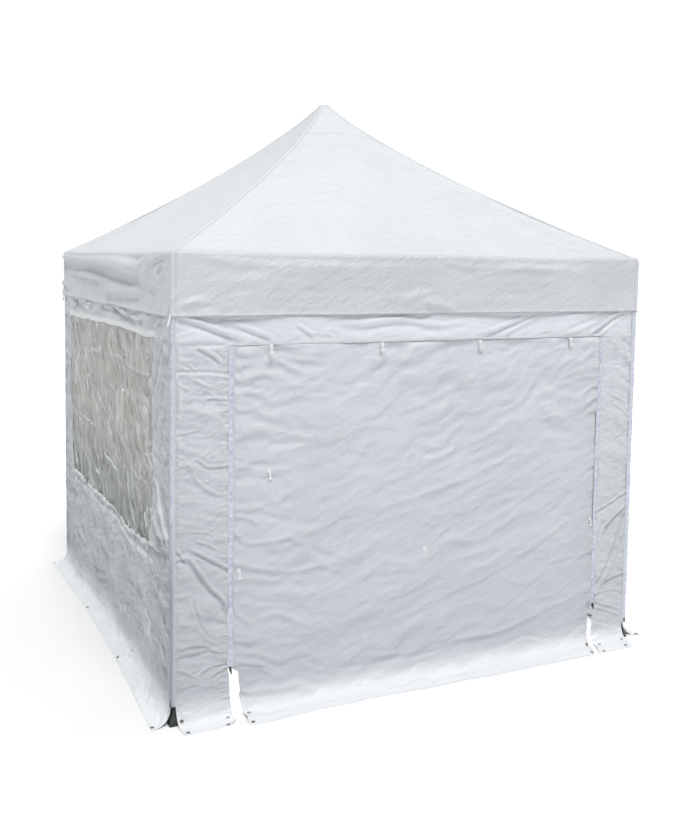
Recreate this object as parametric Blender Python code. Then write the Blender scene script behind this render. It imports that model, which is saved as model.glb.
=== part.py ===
"""Pop-up marquee tent, 3 m square: folding metal frame, peaked canopy and four zipped walls.

Metres, +Z up. The origin is on the ground at the middle of the tent. The door wall faces -Y,
and the walls on -X and +X have clear windows. One corner, one side truss and one wall of each
kind are modelled at the front (or front left) and turned about Z to make the others.
"""

import math

import bmesh
import bpy
from mathutils import Vector

GAP = 0.0003  # clearance between pieces that touch

# Canopy
HALF = 1.5  # half the canopy's side
EAVE_Z = 2.425  # top of the valance
VALANCE_BOTTOM_Z = 2.10
CLOTH = 0.004  # modelled thickness of every cloth panel
ROOF_RISE = 1.088  # the roof is EAVE_Z + (1 - t)(ROOF_RISE - ROOF_PULL t^ROOF_POWER)
ROOF_PULL = 0.280
ROOF_POWER = 0.5
PEAK_FLAT = 0.022  # half the side of the small flat that lies on the peak cap
HIP_GAP = GAP / math.sqrt(2)  # each slope stops this far short of the hip line
ROOF_STEPS = (PEAK_FLAT / HALF, 0.03, 0.06, 0.12, 0.22, 0.36, 0.55, 0.77, 1.0)

# Walls
WALL_OUT = HALF - CLOTH - GAP  # outer face of a wall, behind the valance
WALL_TOP_Z = 2.20
WALL_END = 1.478  # a wall runs from -WALL_END to WALL_END along its side
SKIRT_BEND = 0.08  # radius of the turn from the wall to the ground flap
FRONT_SKIRT_REACH = 0.155  # how far the ground flap lies out from the front and back walls
SIDE_SKIRT_REACH = 0.125  # and from the side walls
BEND_STEPS = 5

DOOR_CENTRE = 0.02  # the door sits a little to the right
DOOR_HALF = 1.19
DOOR_TOP_Z = 1.95
DOOR_ZIP_WIDTH = 0.022
DOOR_ZIP_BOTTOM_Z = 0.25
DOOR_STEP = 0.024  # the door's edge steps in by this much just below its zip
DOOR_STEP_Z = 0.225
DOOR_TAPER = 0.022  # and narrows by this much more down to the ground

WINDOW_HALF = 1.15
WINDOW_BOTTOM_Z = 0.82
WINDOW_TOP_Z = 1.97
FILM = 0.002

CORNER_ZIP_BOTTOM_Z = 0.10
CORNER_OPEN_Z = 0.095  # the walls part below here, round the foot
FRONT_CORNER_TAPER = 0.014  # the front and back walls' ends draw back by this much
SIDE_CORNER_FLARE = 0.030  # and the side walls' ends spread by this much

# Frame
LEG = 1.455  # distance of a leg's axis from the middle planes
OUTER_LEG_SIDE = 0.040
TUBE_WALL = 0.002
INNER_LEG_SIDE = OUTER_LEG_SIDE - 2 * TUBE_WALL - 2 * GAP
OUTER_LEG_BOTTOM_Z = 1.00
OUTER_LEG_TOP_Z = 2.36
INNER_LEG_TOP_Z = 1.25

FOOT_PLATE_THICK = 0.006
FOOT_PLATE_INNER = 1.37
FOOT_PLATE_OUTER = 1.507
FOOT_BOOT_OUTER = 1.502
FOOT_BOOT_INNER = 1.42
FOOT_BOOT_TOP_SIDE = 0.050
FOOT_BOOT_TOP_Z = 0.095
PEG_HOLE_AT = 1.395
PEG_HOLE_RADIUS = 0.006

BRACKET_SIDE = 0.048
SLIDER_SIDE = 0.052
SLIDER_HEIGHT = 0.05

BAR_THICK = 0.012
BAR_HEIGHT = 0.025
BAR_OFFSET = 0.0065  # the two bars of a scissor lie this far to each side of the truss's plane
TRUSS_TOP_Z = 2.385
TRUSS_LOW_Z = 2.06
PIVOT_FROM_LEG = 0.045
PIVOT_FROM_MIDDLE = 0.03
PIN_RADIUS = 0.005
LUG_THICK = 0.003
LUG_HEIGHT = 0.034
LUG_END = 0.060  # a lug ends this far from the leg's axis
MIDDLE_BLOCK_LENGTH = 0.09
MIDDLE_BLOCK_HEIGHT = 0.036
MIDDLE_BLOCK_THICK = 2 * (BAR_OFFSET + BAR_THICK / 2) + 2 * LUG_THICK

HUB_SIDE = 0.070
HUB_HEIGHT = 0.040
POLE_RADIUS = 0.016
POLE_SIDES = 12
POLE_BOTTOM_Z = 2.02
CAP_TOP_RADIUS = 0.020
CAP_RIM_RADIUS = 0.036
CAP_CONE_HEIGHT = 0.028
CAP_RIM_HEIGHT = 0.008

CORNERS = ("front_left", "front_right", "back_right", "back_left")  # each a quarter turn on
SIDES = ("front", "right", "back", "left")


def clear_scene():
    for thing in list(bpy.data.objects):
        bpy.data.objects.remove(thing, do_unlink=True)


def make_material(name, colour, roughness, metallic=0.0, alpha=1.0):
    material = bpy.data.materials.new(name)
    material.use_nodes = True
    shader = material.node_tree.nodes["Principled BSDF"]
    shader.inputs["Base Color"].default_value = (*colour, 1.0)
    shader.inputs["Roughness"].default_value = roughness
    shader.inputs["Metallic"].default_value = metallic
    shader.inputs["Alpha"].default_value = alpha
    return material


def mesh_from(shape, name):
    """The bmesh as a mesh, with its normals pointing out."""
    bmesh.ops.recalc_face_normals(shape, faces=shape.faces)
    mesh = bpy.data.meshes.new(name)
    shape.to_mesh(mesh)
    shape.free()
    return mesh


def add_object(name, mesh, material, quarter_turns=0, smooth=False):
    """A named piece made from a mesh modelled at the front, turned about Z to its side."""
    piece = bpy.data.objects.new(name, mesh)
    bpy.context.scene.collection.objects.link(piece)
    piece.rotation_euler.z = quarter_turns * math.pi / 2
    if not mesh.materials:
        mesh.materials.append(material)
    if smooth:
        mesh.shade_smooth()
        mesh.set_sharp_from_angle(angle=math.radians(40))
    return piece


def add_four(stem, names, mesh, material):
    """The same mesh at all four sides or corners."""
    for turns, place in enumerate(names):
        add_object(f"{stem}_{place}", mesh, material, turns)


def prism(outline, low, high, inner=None, top=None):
    """A closed bmesh on a plan outline, with a hole along it if inner is given.

    It narrows or shifts to the outline top at its upper end, if that is given.
    """
    shape = bmesh.new()
    loops = []
    for z, points in ((low, outline), (high, top or outline)):
        loops.append([shape.verts.new((x, y, z)) for x, y in points])
    if inner is None:
        shape.faces.new(loops[0][::-1])
        shape.faces.new(loops[1])
    else:
        holes = [[shape.verts.new((x, y, z)) for x, y in inner] for z in (low, high)]
    count = len(outline)
    for i in range(count):
        j = (i + 1) % count
        shape.faces.new((loops[0][i], loops[0][j], loops[1][j], loops[1][i]))
        if inner is None:
            continue
        shape.faces.new((holes[0][j], holes[0][i], holes[1][i], holes[1][j]))
        shape.faces.new((loops[1][i], loops[1][j], holes[1][j], holes[1][i]))
        shape.faces.new((loops[0][j], loops[0][i], holes[0][i], holes[0][j]))
    return shape


def square(side, centre=(0.0, 0.0)):
    half = side / 2
    x, y = centre
    return [(x - half, y - half), (x + half, y - half), (x + half, y + half), (x - half, y + half)]


def circle(radius, sides, centre=(0.0, 0.0)):
    x, y = centre
    steps = [2 * math.pi * (i + 0.5) / sides for i in range(sides)]
    return [(x + radius * math.cos(a), y + radius * math.sin(a)) for a in steps]


def block(low, high):
    """A box between two corners, as a closed bmesh."""
    outline = [(low[0], low[1]), (high[0], low[1]), (high[0], high[1]), (low[0], high[1])]
    return prism(outline, low[2], high[2])


def sloping_bar(start, end, side, thickness=BAR_THICK, height=BAR_HEIGHT):
    """A flat bar between two points of a vertical plane, with upright ends.

    side is the unit vector across the bar.
    """
    shape = bmesh.new()
    across = Vector(side) * thickness / 2
    up = Vector((0, 0, height / 2))
    rings = []
    for point in (Vector(start), Vector(end)):
        corners = (point - across - up, point + across - up, point + across + up, point - across + up)
        rings.append([shape.verts.new(corner) for corner in corners])
    shape.faces.new(rings[0][::-1])
    shape.faces.new(rings[1])
    for i in range(4):
        j = (i + 1) % 4
        shape.faces.new((rings[0][i], rings[0][j], rings[1][j], rings[1][i]))
    return shape


def pin(centre, axis, length, radius=PIN_RADIUS, sides=8):
    """A short round pin along X or Y."""
    shape = prism(circle(radius, sides), -length / 2, length / 2)
    turn = Vector((0, 0, 1)).rotation_difference(Vector(axis)).to_matrix()
    bmesh.ops.rotate(shape, cent=(0, 0, 0), matrix=turn, verts=shape.verts)
    bmesh.ops.translate(shape, vec=centre, verts=shape.verts)
    return shape


def combined(name, shapes, operation="UNION"):
    """One mesh from several overlapping shapes, through Boolean modifiers on the first."""
    helpers = []
    for number, shape in enumerate(shapes):
        helper = bpy.data.objects.new(f"{name}_helper_{number}", mesh_from(shape, name))
        bpy.context.scene.collection.objects.link(helper)
        helper.hide_render = True
        helper.display_type = "WIRE"
        helpers.append(helper)
    body = helpers[0]
    for helper in helpers[1:]:
        modifier = body.modifiers.new(helper.name, "BOOLEAN")
        modifier.operation = operation
        modifier.solver = "EXACT"
        modifier.object = helper
    bpy.context.view_layer.update()
    graph = bpy.context.evaluated_depsgraph_get()
    mesh = bpy.data.meshes.new_from_object(body.evaluated_get(graph))
    mesh.materials.clear()
    mesh.name = name
    for helper in helpers:
        bpy.data.objects.remove(helper, do_unlink=True)
    return mesh


def roof_z(t):
    """Height of the canopy's upper face at share t of the way from the peak to the eaves."""
    return EAVE_Z + (1 - t) * (ROOF_RISE - ROOF_PULL * t**ROOF_POWER)


def roof_under(half):
    """Height of the canopy's lower face at a distance from the middle, on its flat strips."""
    t = max(half / HALF, ROOF_STEPS[0])
    for a, b in zip(ROOF_STEPS, ROOF_STEPS[1:]):
        if t <= b:
            share = (t - a) / (b - a)
            return roof_z(a) * (1 - share) + roof_z(b) * share - CLOTH
    return roof_z(1.0) - CLOTH


def roof_panel_mesh():
    """The front slope of the canopy, between the two hip seams, in strips that follow the curve."""
    shape = bmesh.new()
    outlines = []
    for drop in (0.0, CLOTH):
        apex = shape.verts.new((0.0, -HIP_GAP, roof_z(ROOF_STEPS[0]) - drop))
        left, right = [], []
        for t in ROOF_STEPS:
            out, z = HALF * t, roof_z(t) - drop
            left.append(shape.verts.new((-(out - HIP_GAP), -out, z)))
            right.append(shape.verts.new((out - HIP_GAP, -out, z)))
        shape.faces.new((apex, left[0], right[0]))
        for i in range(len(ROOF_STEPS) - 1):
            shape.faces.new((left[i], left[i + 1], right[i + 1], right[i]))
        outlines.append([apex, *left, *right[::-1]])
    top, under = outlines
    for i in range(len(top)):
        j = (i + 1) % len(top)
        shape.faces.new((top[i], top[j], under[j], under[i]))
    return mesh_from(shape, "roof_panel")


def wall_profile(heights, reach=FRONT_SKIRT_REACH):
    """Rows down a wall: (outer face out, z, inner face out, z), ending in the ground flap."""
    rows = [(WALL_OUT, z, WALL_OUT - CLOTH, z) for z in heights]
    centre_out = WALL_OUT + SKIRT_BEND
    centre_z = CLOTH + SKIRT_BEND
    for step in range(BEND_STEPS + 1):
        angle = math.pi / 2 * step / BEND_STEPS
        left, down = math.cos(angle), math.sin(angle)
        outer, inner = SKIRT_BEND, SKIRT_BEND + CLOTH
        rows.append(
            (centre_out - outer * left, centre_z - outer * down,
             centre_out - inner * left, centre_z - inner * down)
        )
    rows.append((WALL_OUT + reach, CLOTH, WALL_OUT + reach, 0.0))
    return rows


def cloth_panel(name, rows, columns, missing=()):
    """A closed panel on a grid of rows and columns, without the missing cells.

    Each column is a function of height that gives its place along the wall.
    """
    shape = bmesh.new()
    outer, inner = [], []
    for out, z, inner_out, inner_z in rows:
        places = [column(z) for column in columns]
        outer.append([shape.verts.new((u, -out, z)) for u in places])
        inner.append([shape.verts.new((u, -inner_out, inner_z)) for u in places])
    edges = {}
    for i in range(len(rows) - 1):
        for j in range(len(columns) - 1):
            if (i, j) in missing:
                continue
            cell = ((i, j), (i, j + 1), (i + 1, j + 1), (i + 1, j))
            shape.faces.new([outer[a][b] for a, b in cell])
            shape.faces.new([inner[a][b] for a, b in reversed(cell)])
            for start, end in zip(cell, cell[1:] + cell[:1]):
                if (end, start) in edges:
                    del edges[(end, start)]
                else:
                    edges[(start, end)] = True
    for (a, b), (c, d) in edges:
        shape.faces.new((outer[c][d], outer[a][b], inner[a][b], inner[c][d]))
    loose = [vert for vert in shape.verts if not vert.link_faces]
    bmesh.ops.delete(shape, geom=loose, context="VERTS")
    return mesh_from(shape, name)


def at(place):
    """A column that stands upright at one place along the wall."""
    return lambda z: place


def opening(place, change, start_z, step=0.0):
    """A column that moves by step at start_z, and from there evenly by change down to the ground."""

    def place_at(z):
        if z >= start_z:
            return place
        return place + step + change * (1 - z / start_z)

    return place_at


def bend_cells(rows, plain_rows, column):
    """The cells of one column from row plain_rows down."""
    return {(i, column) for i in range(plain_rows, len(rows) - 1)}


def front_wall_mesh():
    """The door wall: a header, and a jamb panel each side of the door."""
    rows = wall_profile((WALL_TOP_Z, DOOR_TOP_Z, CORNER_OPEN_Z))
    jamb = DOOR_HALF + DOOR_ZIP_WIDTH
    columns = (
        opening(-WALL_END, FRONT_CORNER_TAPER, CORNER_OPEN_Z),
        at(DOOR_CENTRE - jamb),
        at(DOOR_CENTRE + jamb),
        opening(WALL_END, -FRONT_CORNER_TAPER, CORNER_OPEN_Z),
    )
    return cloth_panel("front_wall", rows, columns, bend_cells(rows, 1, 1))


def door_panel_mesh():
    rows = wall_profile((DOOR_TOP_Z - GAP, DOOR_ZIP_BOTTOM_Z, DOOR_STEP_Z))
    columns = []
    for hand in (-1, 1):
        edge = DOOR_CENTRE + hand * DOOR_HALF
        columns.append(opening(edge, -hand * DOOR_TAPER, DOOR_ZIP_BOTTOM_Z, -hand * DOOR_STEP))
    return cloth_panel("door_panel", rows, columns)


def window_wall_mesh():
    rows = wall_profile((WALL_TOP_Z, WINDOW_TOP_Z, WINDOW_BOTTOM_Z, CORNER_OPEN_Z), SIDE_SKIRT_REACH)
    columns = (
        opening(-WALL_END, -SIDE_CORNER_FLARE, CORNER_OPEN_Z),
        at(-WINDOW_HALF),
        at(WINDOW_HALF),
        opening(WALL_END, SIDE_CORNER_FLARE, CORNER_OPEN_Z),
    )
    return cloth_panel("window_wall", rows, columns, {(1, 1)})


def plain_wall_mesh():
    rows = wall_profile((WALL_TOP_Z, CORNER_OPEN_Z))
    left = opening(-WALL_END, FRONT_CORNER_TAPER, CORNER_OPEN_Z)
    right = opening(WALL_END, -FRONT_CORNER_TAPER, CORNER_OPEN_Z)
    return cloth_panel("plain_wall", rows, (left, right))


def window_film_mesh():
    middle = -(WALL_OUT - CLOTH / 2)
    half = WINDOW_HALF - GAP
    low = (-half, middle - FILM / 2, WINDOW_BOTTOM_Z + GAP)
    high = (half, middle + FILM / 2, WINDOW_TOP_Z - GAP)
    return mesh_from(block(low, high), "window_film")


def door_zip_mesh():
    """One door zip, modelled on the left; the right one is a second object moved across."""
    left = DOOR_CENTRE - DOOR_HALF - DOOR_ZIP_WIDTH + GAP
    right = DOOR_CENTRE - DOOR_HALF - GAP
    low = (left, -WALL_OUT, DOOR_ZIP_BOTTOM_Z)
    high = (right, -WALL_OUT + CLOTH, DOOR_TOP_Z - GAP)
    return mesh_from(block(low, high), "door_zip")


def corner_zip_mesh():
    """The zip that closes two walls at a corner, an angle strip in plan."""
    out, back, end = -WALL_OUT, -(WALL_OUT - CLOTH), -(WALL_END + GAP)
    outline = [(out, out), (end, out), (end, back), (back, back), (back, end), (out, end)]
    return mesh_from(prism(outline, CORNER_ZIP_BOTTOM_Z, WALL_TOP_Z), "corner_zip")


def valance_mesh():
    top = EAVE_Z - CLOTH - GAP
    ring = prism(square(2 * HALF), VALANCE_BOTTOM_Z, top, square(2 * (HALF - CLOTH)))
    return mesh_from(ring, "valance")


def tube_mesh(name, side, low, high):
    centre = (-LEG, -LEG)
    inner = square(side - 2 * TUBE_WALL, centre)
    return mesh_from(prism(square(side, centre), low, high, inner), name)


def foot_mesh():
    """A foot plate with a peg hole, and the tapered boot that the inner leg stands in."""
    inner, outer = -FOOT_PLATE_INNER, -FOOT_PLATE_OUTER
    plate = block((outer, outer, 0.0), (inner, inner, FOOT_PLATE_THICK))
    middle = -(FOOT_BOOT_OUTER + FOOT_BOOT_INNER) / 2
    base = square(FOOT_BOOT_OUTER - FOOT_BOOT_INNER, (middle, middle))
    top = square(FOOT_BOOT_TOP_SIDE, (-LEG, -LEG))
    boot = prism(base, FOOT_PLATE_THICK / 2, FOOT_BOOT_TOP_Z, top=top)
    socket = prism(square(INNER_LEG_SIDE + 2 * GAP, (-LEG, -LEG)), FOOT_PLATE_THICK, 2 * FOOT_BOOT_TOP_Z)
    hole = prism(circle(PEG_HOLE_RADIUS, 12, (-PEG_HOLE_AT, -PEG_HOLE_AT)), -0.01, 0.02)
    body = bmesh.new()
    body.from_mesh(combined("foot", [plate, boot]))
    return combined("foot", [body, socket, hole], "DIFFERENCE")


def lugs(z, root):
    """The two pairs of lugs that a corner fitting holds its scissor bars in.

    One pair faces +X, for the truss along the front, and one faces +Y. They start at root from
    the leg's axis, inside the fitting.
    """
    top = z == TRUSS_TOP_Z
    plates = []
    bar_centre = -BAR_OFFSET if top else BAR_OFFSET
    for direction in (0, 1):
        for hand in (-1, 1):
            across = bar_centre + hand * (BAR_THICK / 2 + GAP + LUG_THICK / 2)
            shape = block(
                (root, across - LUG_THICK / 2, -LUG_HEIGHT / 2),
                (LUG_END, across + LUG_THICK / 2, LUG_HEIGHT / 2),
            )
            head = pin((PIVOT_FROM_LEG, across + hand * 0.002, 0), (0, 1, 0), 0.005, 0.007)
            for piece in (shape, head):
                if direction:
                    for vert in piece.verts:
                        vert.co.x, vert.co.y = vert.co.y, vert.co.x
                bmesh.ops.translate(piece, vec=(-LEG, -LEG, z), verts=piece.verts)
                plates.append(piece)
    return plates


def top_bracket_mesh():
    """The corner casting on the leg, which carries the canopy's corner."""
    top = roof_under(LEG + BRACKET_SIDE / 2) - GAP
    centre = (-LEG, -LEG)
    casting = prism(square(BRACKET_SIDE, centre), OUTER_LEG_TOP_Z + GAP, top)
    return combined("top_bracket", [casting, *lugs(TRUSS_TOP_Z, BRACKET_SIDE / 2 - 0.002)])


def slider_mesh():
    """The collar that slides on the leg and carries the lower bars."""
    centre = (-LEG, -LEG)
    low, high = TRUSS_LOW_Z - SLIDER_HEIGHT / 2, TRUSS_LOW_Z + SLIDER_HEIGHT / 2
    bore = square(OUTER_LEG_SIDE + 2 * GAP, centre)
    collar = prism(square(SLIDER_SIDE, centre), low, high, bore)
    return combined("slider", [collar, *lugs(TRUSS_LOW_Z, SLIDER_SIDE / 2 - 0.002)])


def scissor(start, end, side, plane):
    """Two crossed bars and the pin at their middle.

    start and end are places along the truss, side is the unit vector across it, and plane is
    its distance from the middle of the tent, against side.
    """
    along = Vector((0, 0, 1)).cross(Vector(side))
    across = Vector(side)
    high, low = Vector((0, 0, TRUSS_TOP_Z)), Vector((0, 0, TRUSS_LOW_Z))
    outer, inner = across * (plane - BAR_OFFSET), across * (plane + BAR_OFFSET)
    middle_z = (TRUSS_TOP_Z + TRUSS_LOW_Z) / 2
    centre = along * (start + end) / 2 + across * plane + Vector((0, 0, middle_z))
    return [
        sloping_bar(along * start + outer + high, along * end + outer + low, across),
        sloping_bar(along * start + inner + low, along * end + inner + high, across),
        pin(centre, across, MIDDLE_BLOCK_THICK),
    ]


def side_truss_mesh():
    """Two scissors along the front, joined at upper and lower middle blocks."""
    across = (0, 1, 0)
    start, end = LEG - PIVOT_FROM_LEG + 0.01, PIVOT_FROM_MIDDLE
    shapes = []
    for z in (TRUSS_TOP_Z, TRUSS_LOW_Z):
        half = (MIDDLE_BLOCK_LENGTH / 2, MIDDLE_BLOCK_THICK / 2, MIDDLE_BLOCK_HEIGHT / 2)
        low = (-half[0], -LEG - half[1], z - half[2])
        high = (half[0], -LEG + half[1], z + half[2])
        shapes.append(block(low, high))
    for hand in (1, -1):
        shapes += scissor(hand * start, hand * end, across, -LEG)
    return combined("side_truss", shapes)


def roof_truss_mesh():
    """The scissor from the front's middle blocks to the hubs on the pole."""
    start = LEG - MIDDLE_BLOCK_THICK / 2 - GAP
    end = HUB_SIDE / 2 + GAP
    return combined("roof_truss", scissor(start, end, (1, 0, 0), 0.0))


def hub(z):
    return prism(square(HUB_SIDE), z - HUB_HEIGHT / 2, z + HUB_HEIGHT / 2)


def centre_pole_mesh():
    """The pole under the peak, with the hub for the upper bars fixed to it."""
    top = roof_under(0.0) - GAP - CAP_CONE_HEIGHT - CAP_RIM_HEIGHT - GAP
    pole = prism(circle(POLE_RADIUS, POLE_SIDES), POLE_BOTTOM_Z, top)
    return combined("centre_pole", [pole, hub(TRUSS_TOP_Z)])


def lower_hub_mesh():
    """The hub for the lower bars, which slides on the pole."""
    hole = prism(circle(POLE_RADIUS + GAP, POLE_SIDES), TRUSS_LOW_Z - HUB_HEIGHT, TRUSS_LOW_Z + HUB_HEIGHT)
    return combined("lower_hub", [hub(TRUSS_LOW_Z), hole], "DIFFERENCE")


def peak_cap_mesh():
    """The domed cap on the pole that carries the canopy's peak."""
    top = roof_under(0.0) - GAP
    levels = (
        (CAP_RIM_RADIUS - 0.004, top - CAP_CONE_HEIGHT - CAP_RIM_HEIGHT),
        (CAP_RIM_RADIUS, top - CAP_CONE_HEIGHT),
        (CAP_TOP_RADIUS, top),
    )
    shape = bmesh.new()
    rings = []
    for radius, z in levels:
        rings.append([shape.verts.new((x, y, z)) for x, y in circle(radius, 16)])
    shape.faces.new(rings[0][::-1])
    shape.faces.new(rings[-1])
    for lower, upper in zip(rings, rings[1:]):
        for i in range(len(lower)):
            j = (i + 1) % len(lower)
            shape.faces.new((lower[i], lower[j], upper[j], upper[i]))
    return mesh_from(shape, "peak_cap")


def add_canopy(cloth):
    add_four("roof_panel", SIDES, roof_panel_mesh(), cloth)
    add_object("valance", valance_mesh(), cloth)


def add_walls(cloth, film, tape):
    add_object("front_wall", front_wall_mesh(), cloth)
    add_object("door_panel", door_panel_mesh(), cloth)
    add_object("back_wall", plain_wall_mesh(), cloth, 2)
    window_wall, window_film = window_wall_mesh(), window_film_mesh()
    for side, turns in (("left", 3), ("right", 1)):
        add_object(f"{side}_wall", window_wall, cloth, turns)
        add_object(f"{side}_window", window_film, film, turns)
    door_zip = door_zip_mesh()
    add_object("door_zip_left", door_zip, tape)
    right_zip = add_object("door_zip_right", door_zip, tape)
    right_zip.location.x = 2 * DOOR_HALF + DOOR_ZIP_WIDTH
    add_four("corner_zip", CORNERS, corner_zip_mesh(), tape)


def add_frame(alloy, moulding, foot_metal):
    outer_leg = tube_mesh("outer_leg", OUTER_LEG_SIDE, OUTER_LEG_BOTTOM_Z, OUTER_LEG_TOP_Z)
    inner_leg = tube_mesh("inner_leg", INNER_LEG_SIDE, FOOT_PLATE_THICK + GAP, INNER_LEG_TOP_Z)
    add_four("outer_leg", CORNERS, outer_leg, alloy)
    add_four("inner_leg", CORNERS, inner_leg, alloy)
    add_four("foot", CORNERS, foot_mesh(), foot_metal)
    add_four("top_bracket", CORNERS, top_bracket_mesh(), moulding)
    add_four("slider", CORNERS, slider_mesh(), moulding)
    add_four("side_truss", SIDES, side_truss_mesh(), alloy)
    add_four("roof_truss", SIDES, roof_truss_mesh(), alloy)


def add_centre(alloy, moulding):
    add_object("centre_pole", centre_pole_mesh(), alloy, smooth=True)
    add_object("lower_hub", lower_hub_mesh(), moulding)
    add_object("peak_cap", peak_cap_mesh(), moulding, smooth=True)


def main():
    clear_scene()
    cloth = make_material("cloth", (0.80, 0.83, 0.87), 0.55)
    film = make_material("film", (0.62, 0.62, 0.58), 0.15, alpha=0.45)
    tape = make_material("tape", (0.78, 0.80, 0.90), 0.6)
    alloy = make_material("alloy", (0.62, 0.63, 0.65), 0.4, 0.9)
    moulding = make_material("moulding", (0.07, 0.08, 0.08), 0.5)
    foot_metal = make_material("foot_metal", (0.10, 0.12, 0.12), 0.45, 0.6)
    add_canopy(cloth)
    add_walls(cloth, film, tape)
    add_frame(alloy, moulding, foot_metal)
    add_centre(alloy, moulding)


main()
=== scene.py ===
"""Looks of the pop-up marquee tent: cloth, film, zips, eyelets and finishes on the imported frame.

Metres, +Z up. Each wall is worked out as if it were the front wall, by its place along (s), its
height and how far out it is, and is then turned about Z by quarter turns to its own side.
"""

import math

import bmesh
import bpy
import numpy as np
from mathutils import Matrix, Vector


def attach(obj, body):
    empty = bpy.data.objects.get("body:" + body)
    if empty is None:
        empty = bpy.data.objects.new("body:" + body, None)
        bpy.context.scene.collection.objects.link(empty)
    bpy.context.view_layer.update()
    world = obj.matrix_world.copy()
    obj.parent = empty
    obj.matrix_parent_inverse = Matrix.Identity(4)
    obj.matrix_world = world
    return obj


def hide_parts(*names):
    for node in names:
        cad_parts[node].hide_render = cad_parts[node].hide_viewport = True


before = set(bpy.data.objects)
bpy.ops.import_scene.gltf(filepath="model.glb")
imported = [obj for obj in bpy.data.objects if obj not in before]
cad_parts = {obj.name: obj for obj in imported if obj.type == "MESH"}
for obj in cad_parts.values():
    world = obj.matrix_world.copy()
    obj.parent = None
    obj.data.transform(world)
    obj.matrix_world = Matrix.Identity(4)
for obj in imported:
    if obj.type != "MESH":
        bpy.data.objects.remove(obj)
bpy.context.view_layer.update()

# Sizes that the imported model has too
HALF = 1.5
EAVE_Z = 2.425
VALANCE_BOTTOM_Z = 2.10
CLOTH = 0.004
WALL_MID = 1.4937  # middle of the wall's thickness
WALL_TOP_Z = 2.20
WALL_END = 1.478
BEND = 0.082
BEND_Z = 0.084
FRONT_REACH = 0.155
SIDE_REACH = 0.125
DOOR_LEFT, DOOR_RIGHT = -1.170, 1.210
JAMB_LEFT, JAMB_RIGHT = -1.192, 1.232
DOOR_TOP_Z = 1.95
WINDOW_HALF = 1.15
WINDOW_LOW_Z, WINDOW_TOP_Z = 0.82, 1.97
FABRIC = 0.0012  # thickness of the cloth as it is shown
FILM = 0.0005
TAPE = 0.0008
TURNS = {"front": 0, "right": 1, "back": 2, "left": 3}
CORNERS = ("front_left", "front_right", "back_right", "back_left")
QUARTERS = ((1, 0), (0, 1), (-1, 0), (0, -1))  # cosine and sine of each quarter turn
STRAIGHT = WALL_TOP_Z - BEND_Z  # length of a wall's cloth above its bend
ARC = BEND * math.pi / 2  # and in the bend
ZIP_LEFT, ZIP_RIGHT = -1.181, 1.221  # middles of the door's zips
ZIP_LOW_Z, ZIP_TOP_Z = 0.25, 1.948
ZIP_OUT = WALL_MID + 0.0036  # how far out the zips' tapes lie
FLOOR_GAP = 0.0004  # between the floor and what lies on it
BRIGHTEST = 0.97

LOW_LIGHT, MIDDLE_LIGHT, TOP_LIGHT, BACKDROP = 0.27, 0.18, 1.20, 1.06
KEY_LIGHT, KEY_FROM = 1.80, (-0.09, -0.45, 0.88)
BACKDROP_WAY = (0.437, 0.899, 0)
INSIDE_LIGHT = 35.0
THRESHOLD_LIGHT = 15.0

CANOPY_STEP = 0.023
FINE_STEP = 0.0066
DOOR_STEP = 0.0110
LEFT_STEP = 0.0110
RIGHT_STEP = 0.021
PLAIN_STEP = 0.026


# ---------------------------------------------------------------- noise and folds


def fade(t):
    return t * t * t * (t * (t * 6 - 15) + 10)


def smooth(low, high, value):
    return fade(np.clip((np.asarray(value, float) - low) / (high - low), 0, 1))


def noise(x, y, seed):
    """Smooth noise from about -1 to 1, with one lump to a unit."""
    angles = np.random.default_rng(seed).uniform(0, 2 * np.pi, (61, 67))
    i, j = np.floor(x).astype(int), np.floor(y).astype(int)
    u, v = x - i, y - j

    def corner(di, dj):
        angle = angles[(i + di) % 61, (j + dj) % 67]
        return np.cos(angle) * (u - di) + np.sin(angle) * (v - dj)

    low = corner(0, 0) * (1 - fade(u)) + corner(1, 0) * fade(u)
    high = corner(0, 1) * (1 - fade(u)) + corner(1, 1) * fade(u)
    return 1.7 * (low * (1 - fade(v)) + high * fade(v))


def wrinkles(s, z, seed, angle, length, width, crest=0.5):
    """Long creases that run at an angle in degrees, from -1 to 1: part round, part with crests."""
    c, d = math.cos(math.radians(angle)), math.sin(math.radians(angle))
    along, across = s * c + z * d, z * c - s * d
    across = across + 0.6 * width * noise(along / length * 1.7 + 3.1, across / width * 0.4, seed + 50)
    n = noise(along / length, across / width, seed)
    sharp = 1 - 2.2 * np.abs(noise(along / length + 9.2, across / width + 4.7, seed + 1))
    return (1 - crest) * n + crest * sharp


def patches(s, z, seed, size, low=0.0, high=0.5):
    """A mask from 0 to 1 that breaks creases up into patches."""
    return smooth(low, high, noise(s / size, z / size, seed) + 0.35)


def curve_points(points, pieces=5):
    """A smooth line through the points."""
    p = np.array(points, float)
    if len(p) < 3:
        return p
    ends = np.vstack([2 * p[0] - p[1], p, 2 * p[-1] - p[-2]])
    out = []
    for a, b, c, d in zip(ends, ends[1:], ends[2:], ends[3:]):
        for t in np.arange(pieces) / pieces:
            out.append(0.5 * (2 * b + (c - a) * t + (2 * a - 5 * b + 4 * c - d) * t**2
                              + (3 * b - a - 3 * c + d) * t**3))
    return np.array(out + [p[-1]])


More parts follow.
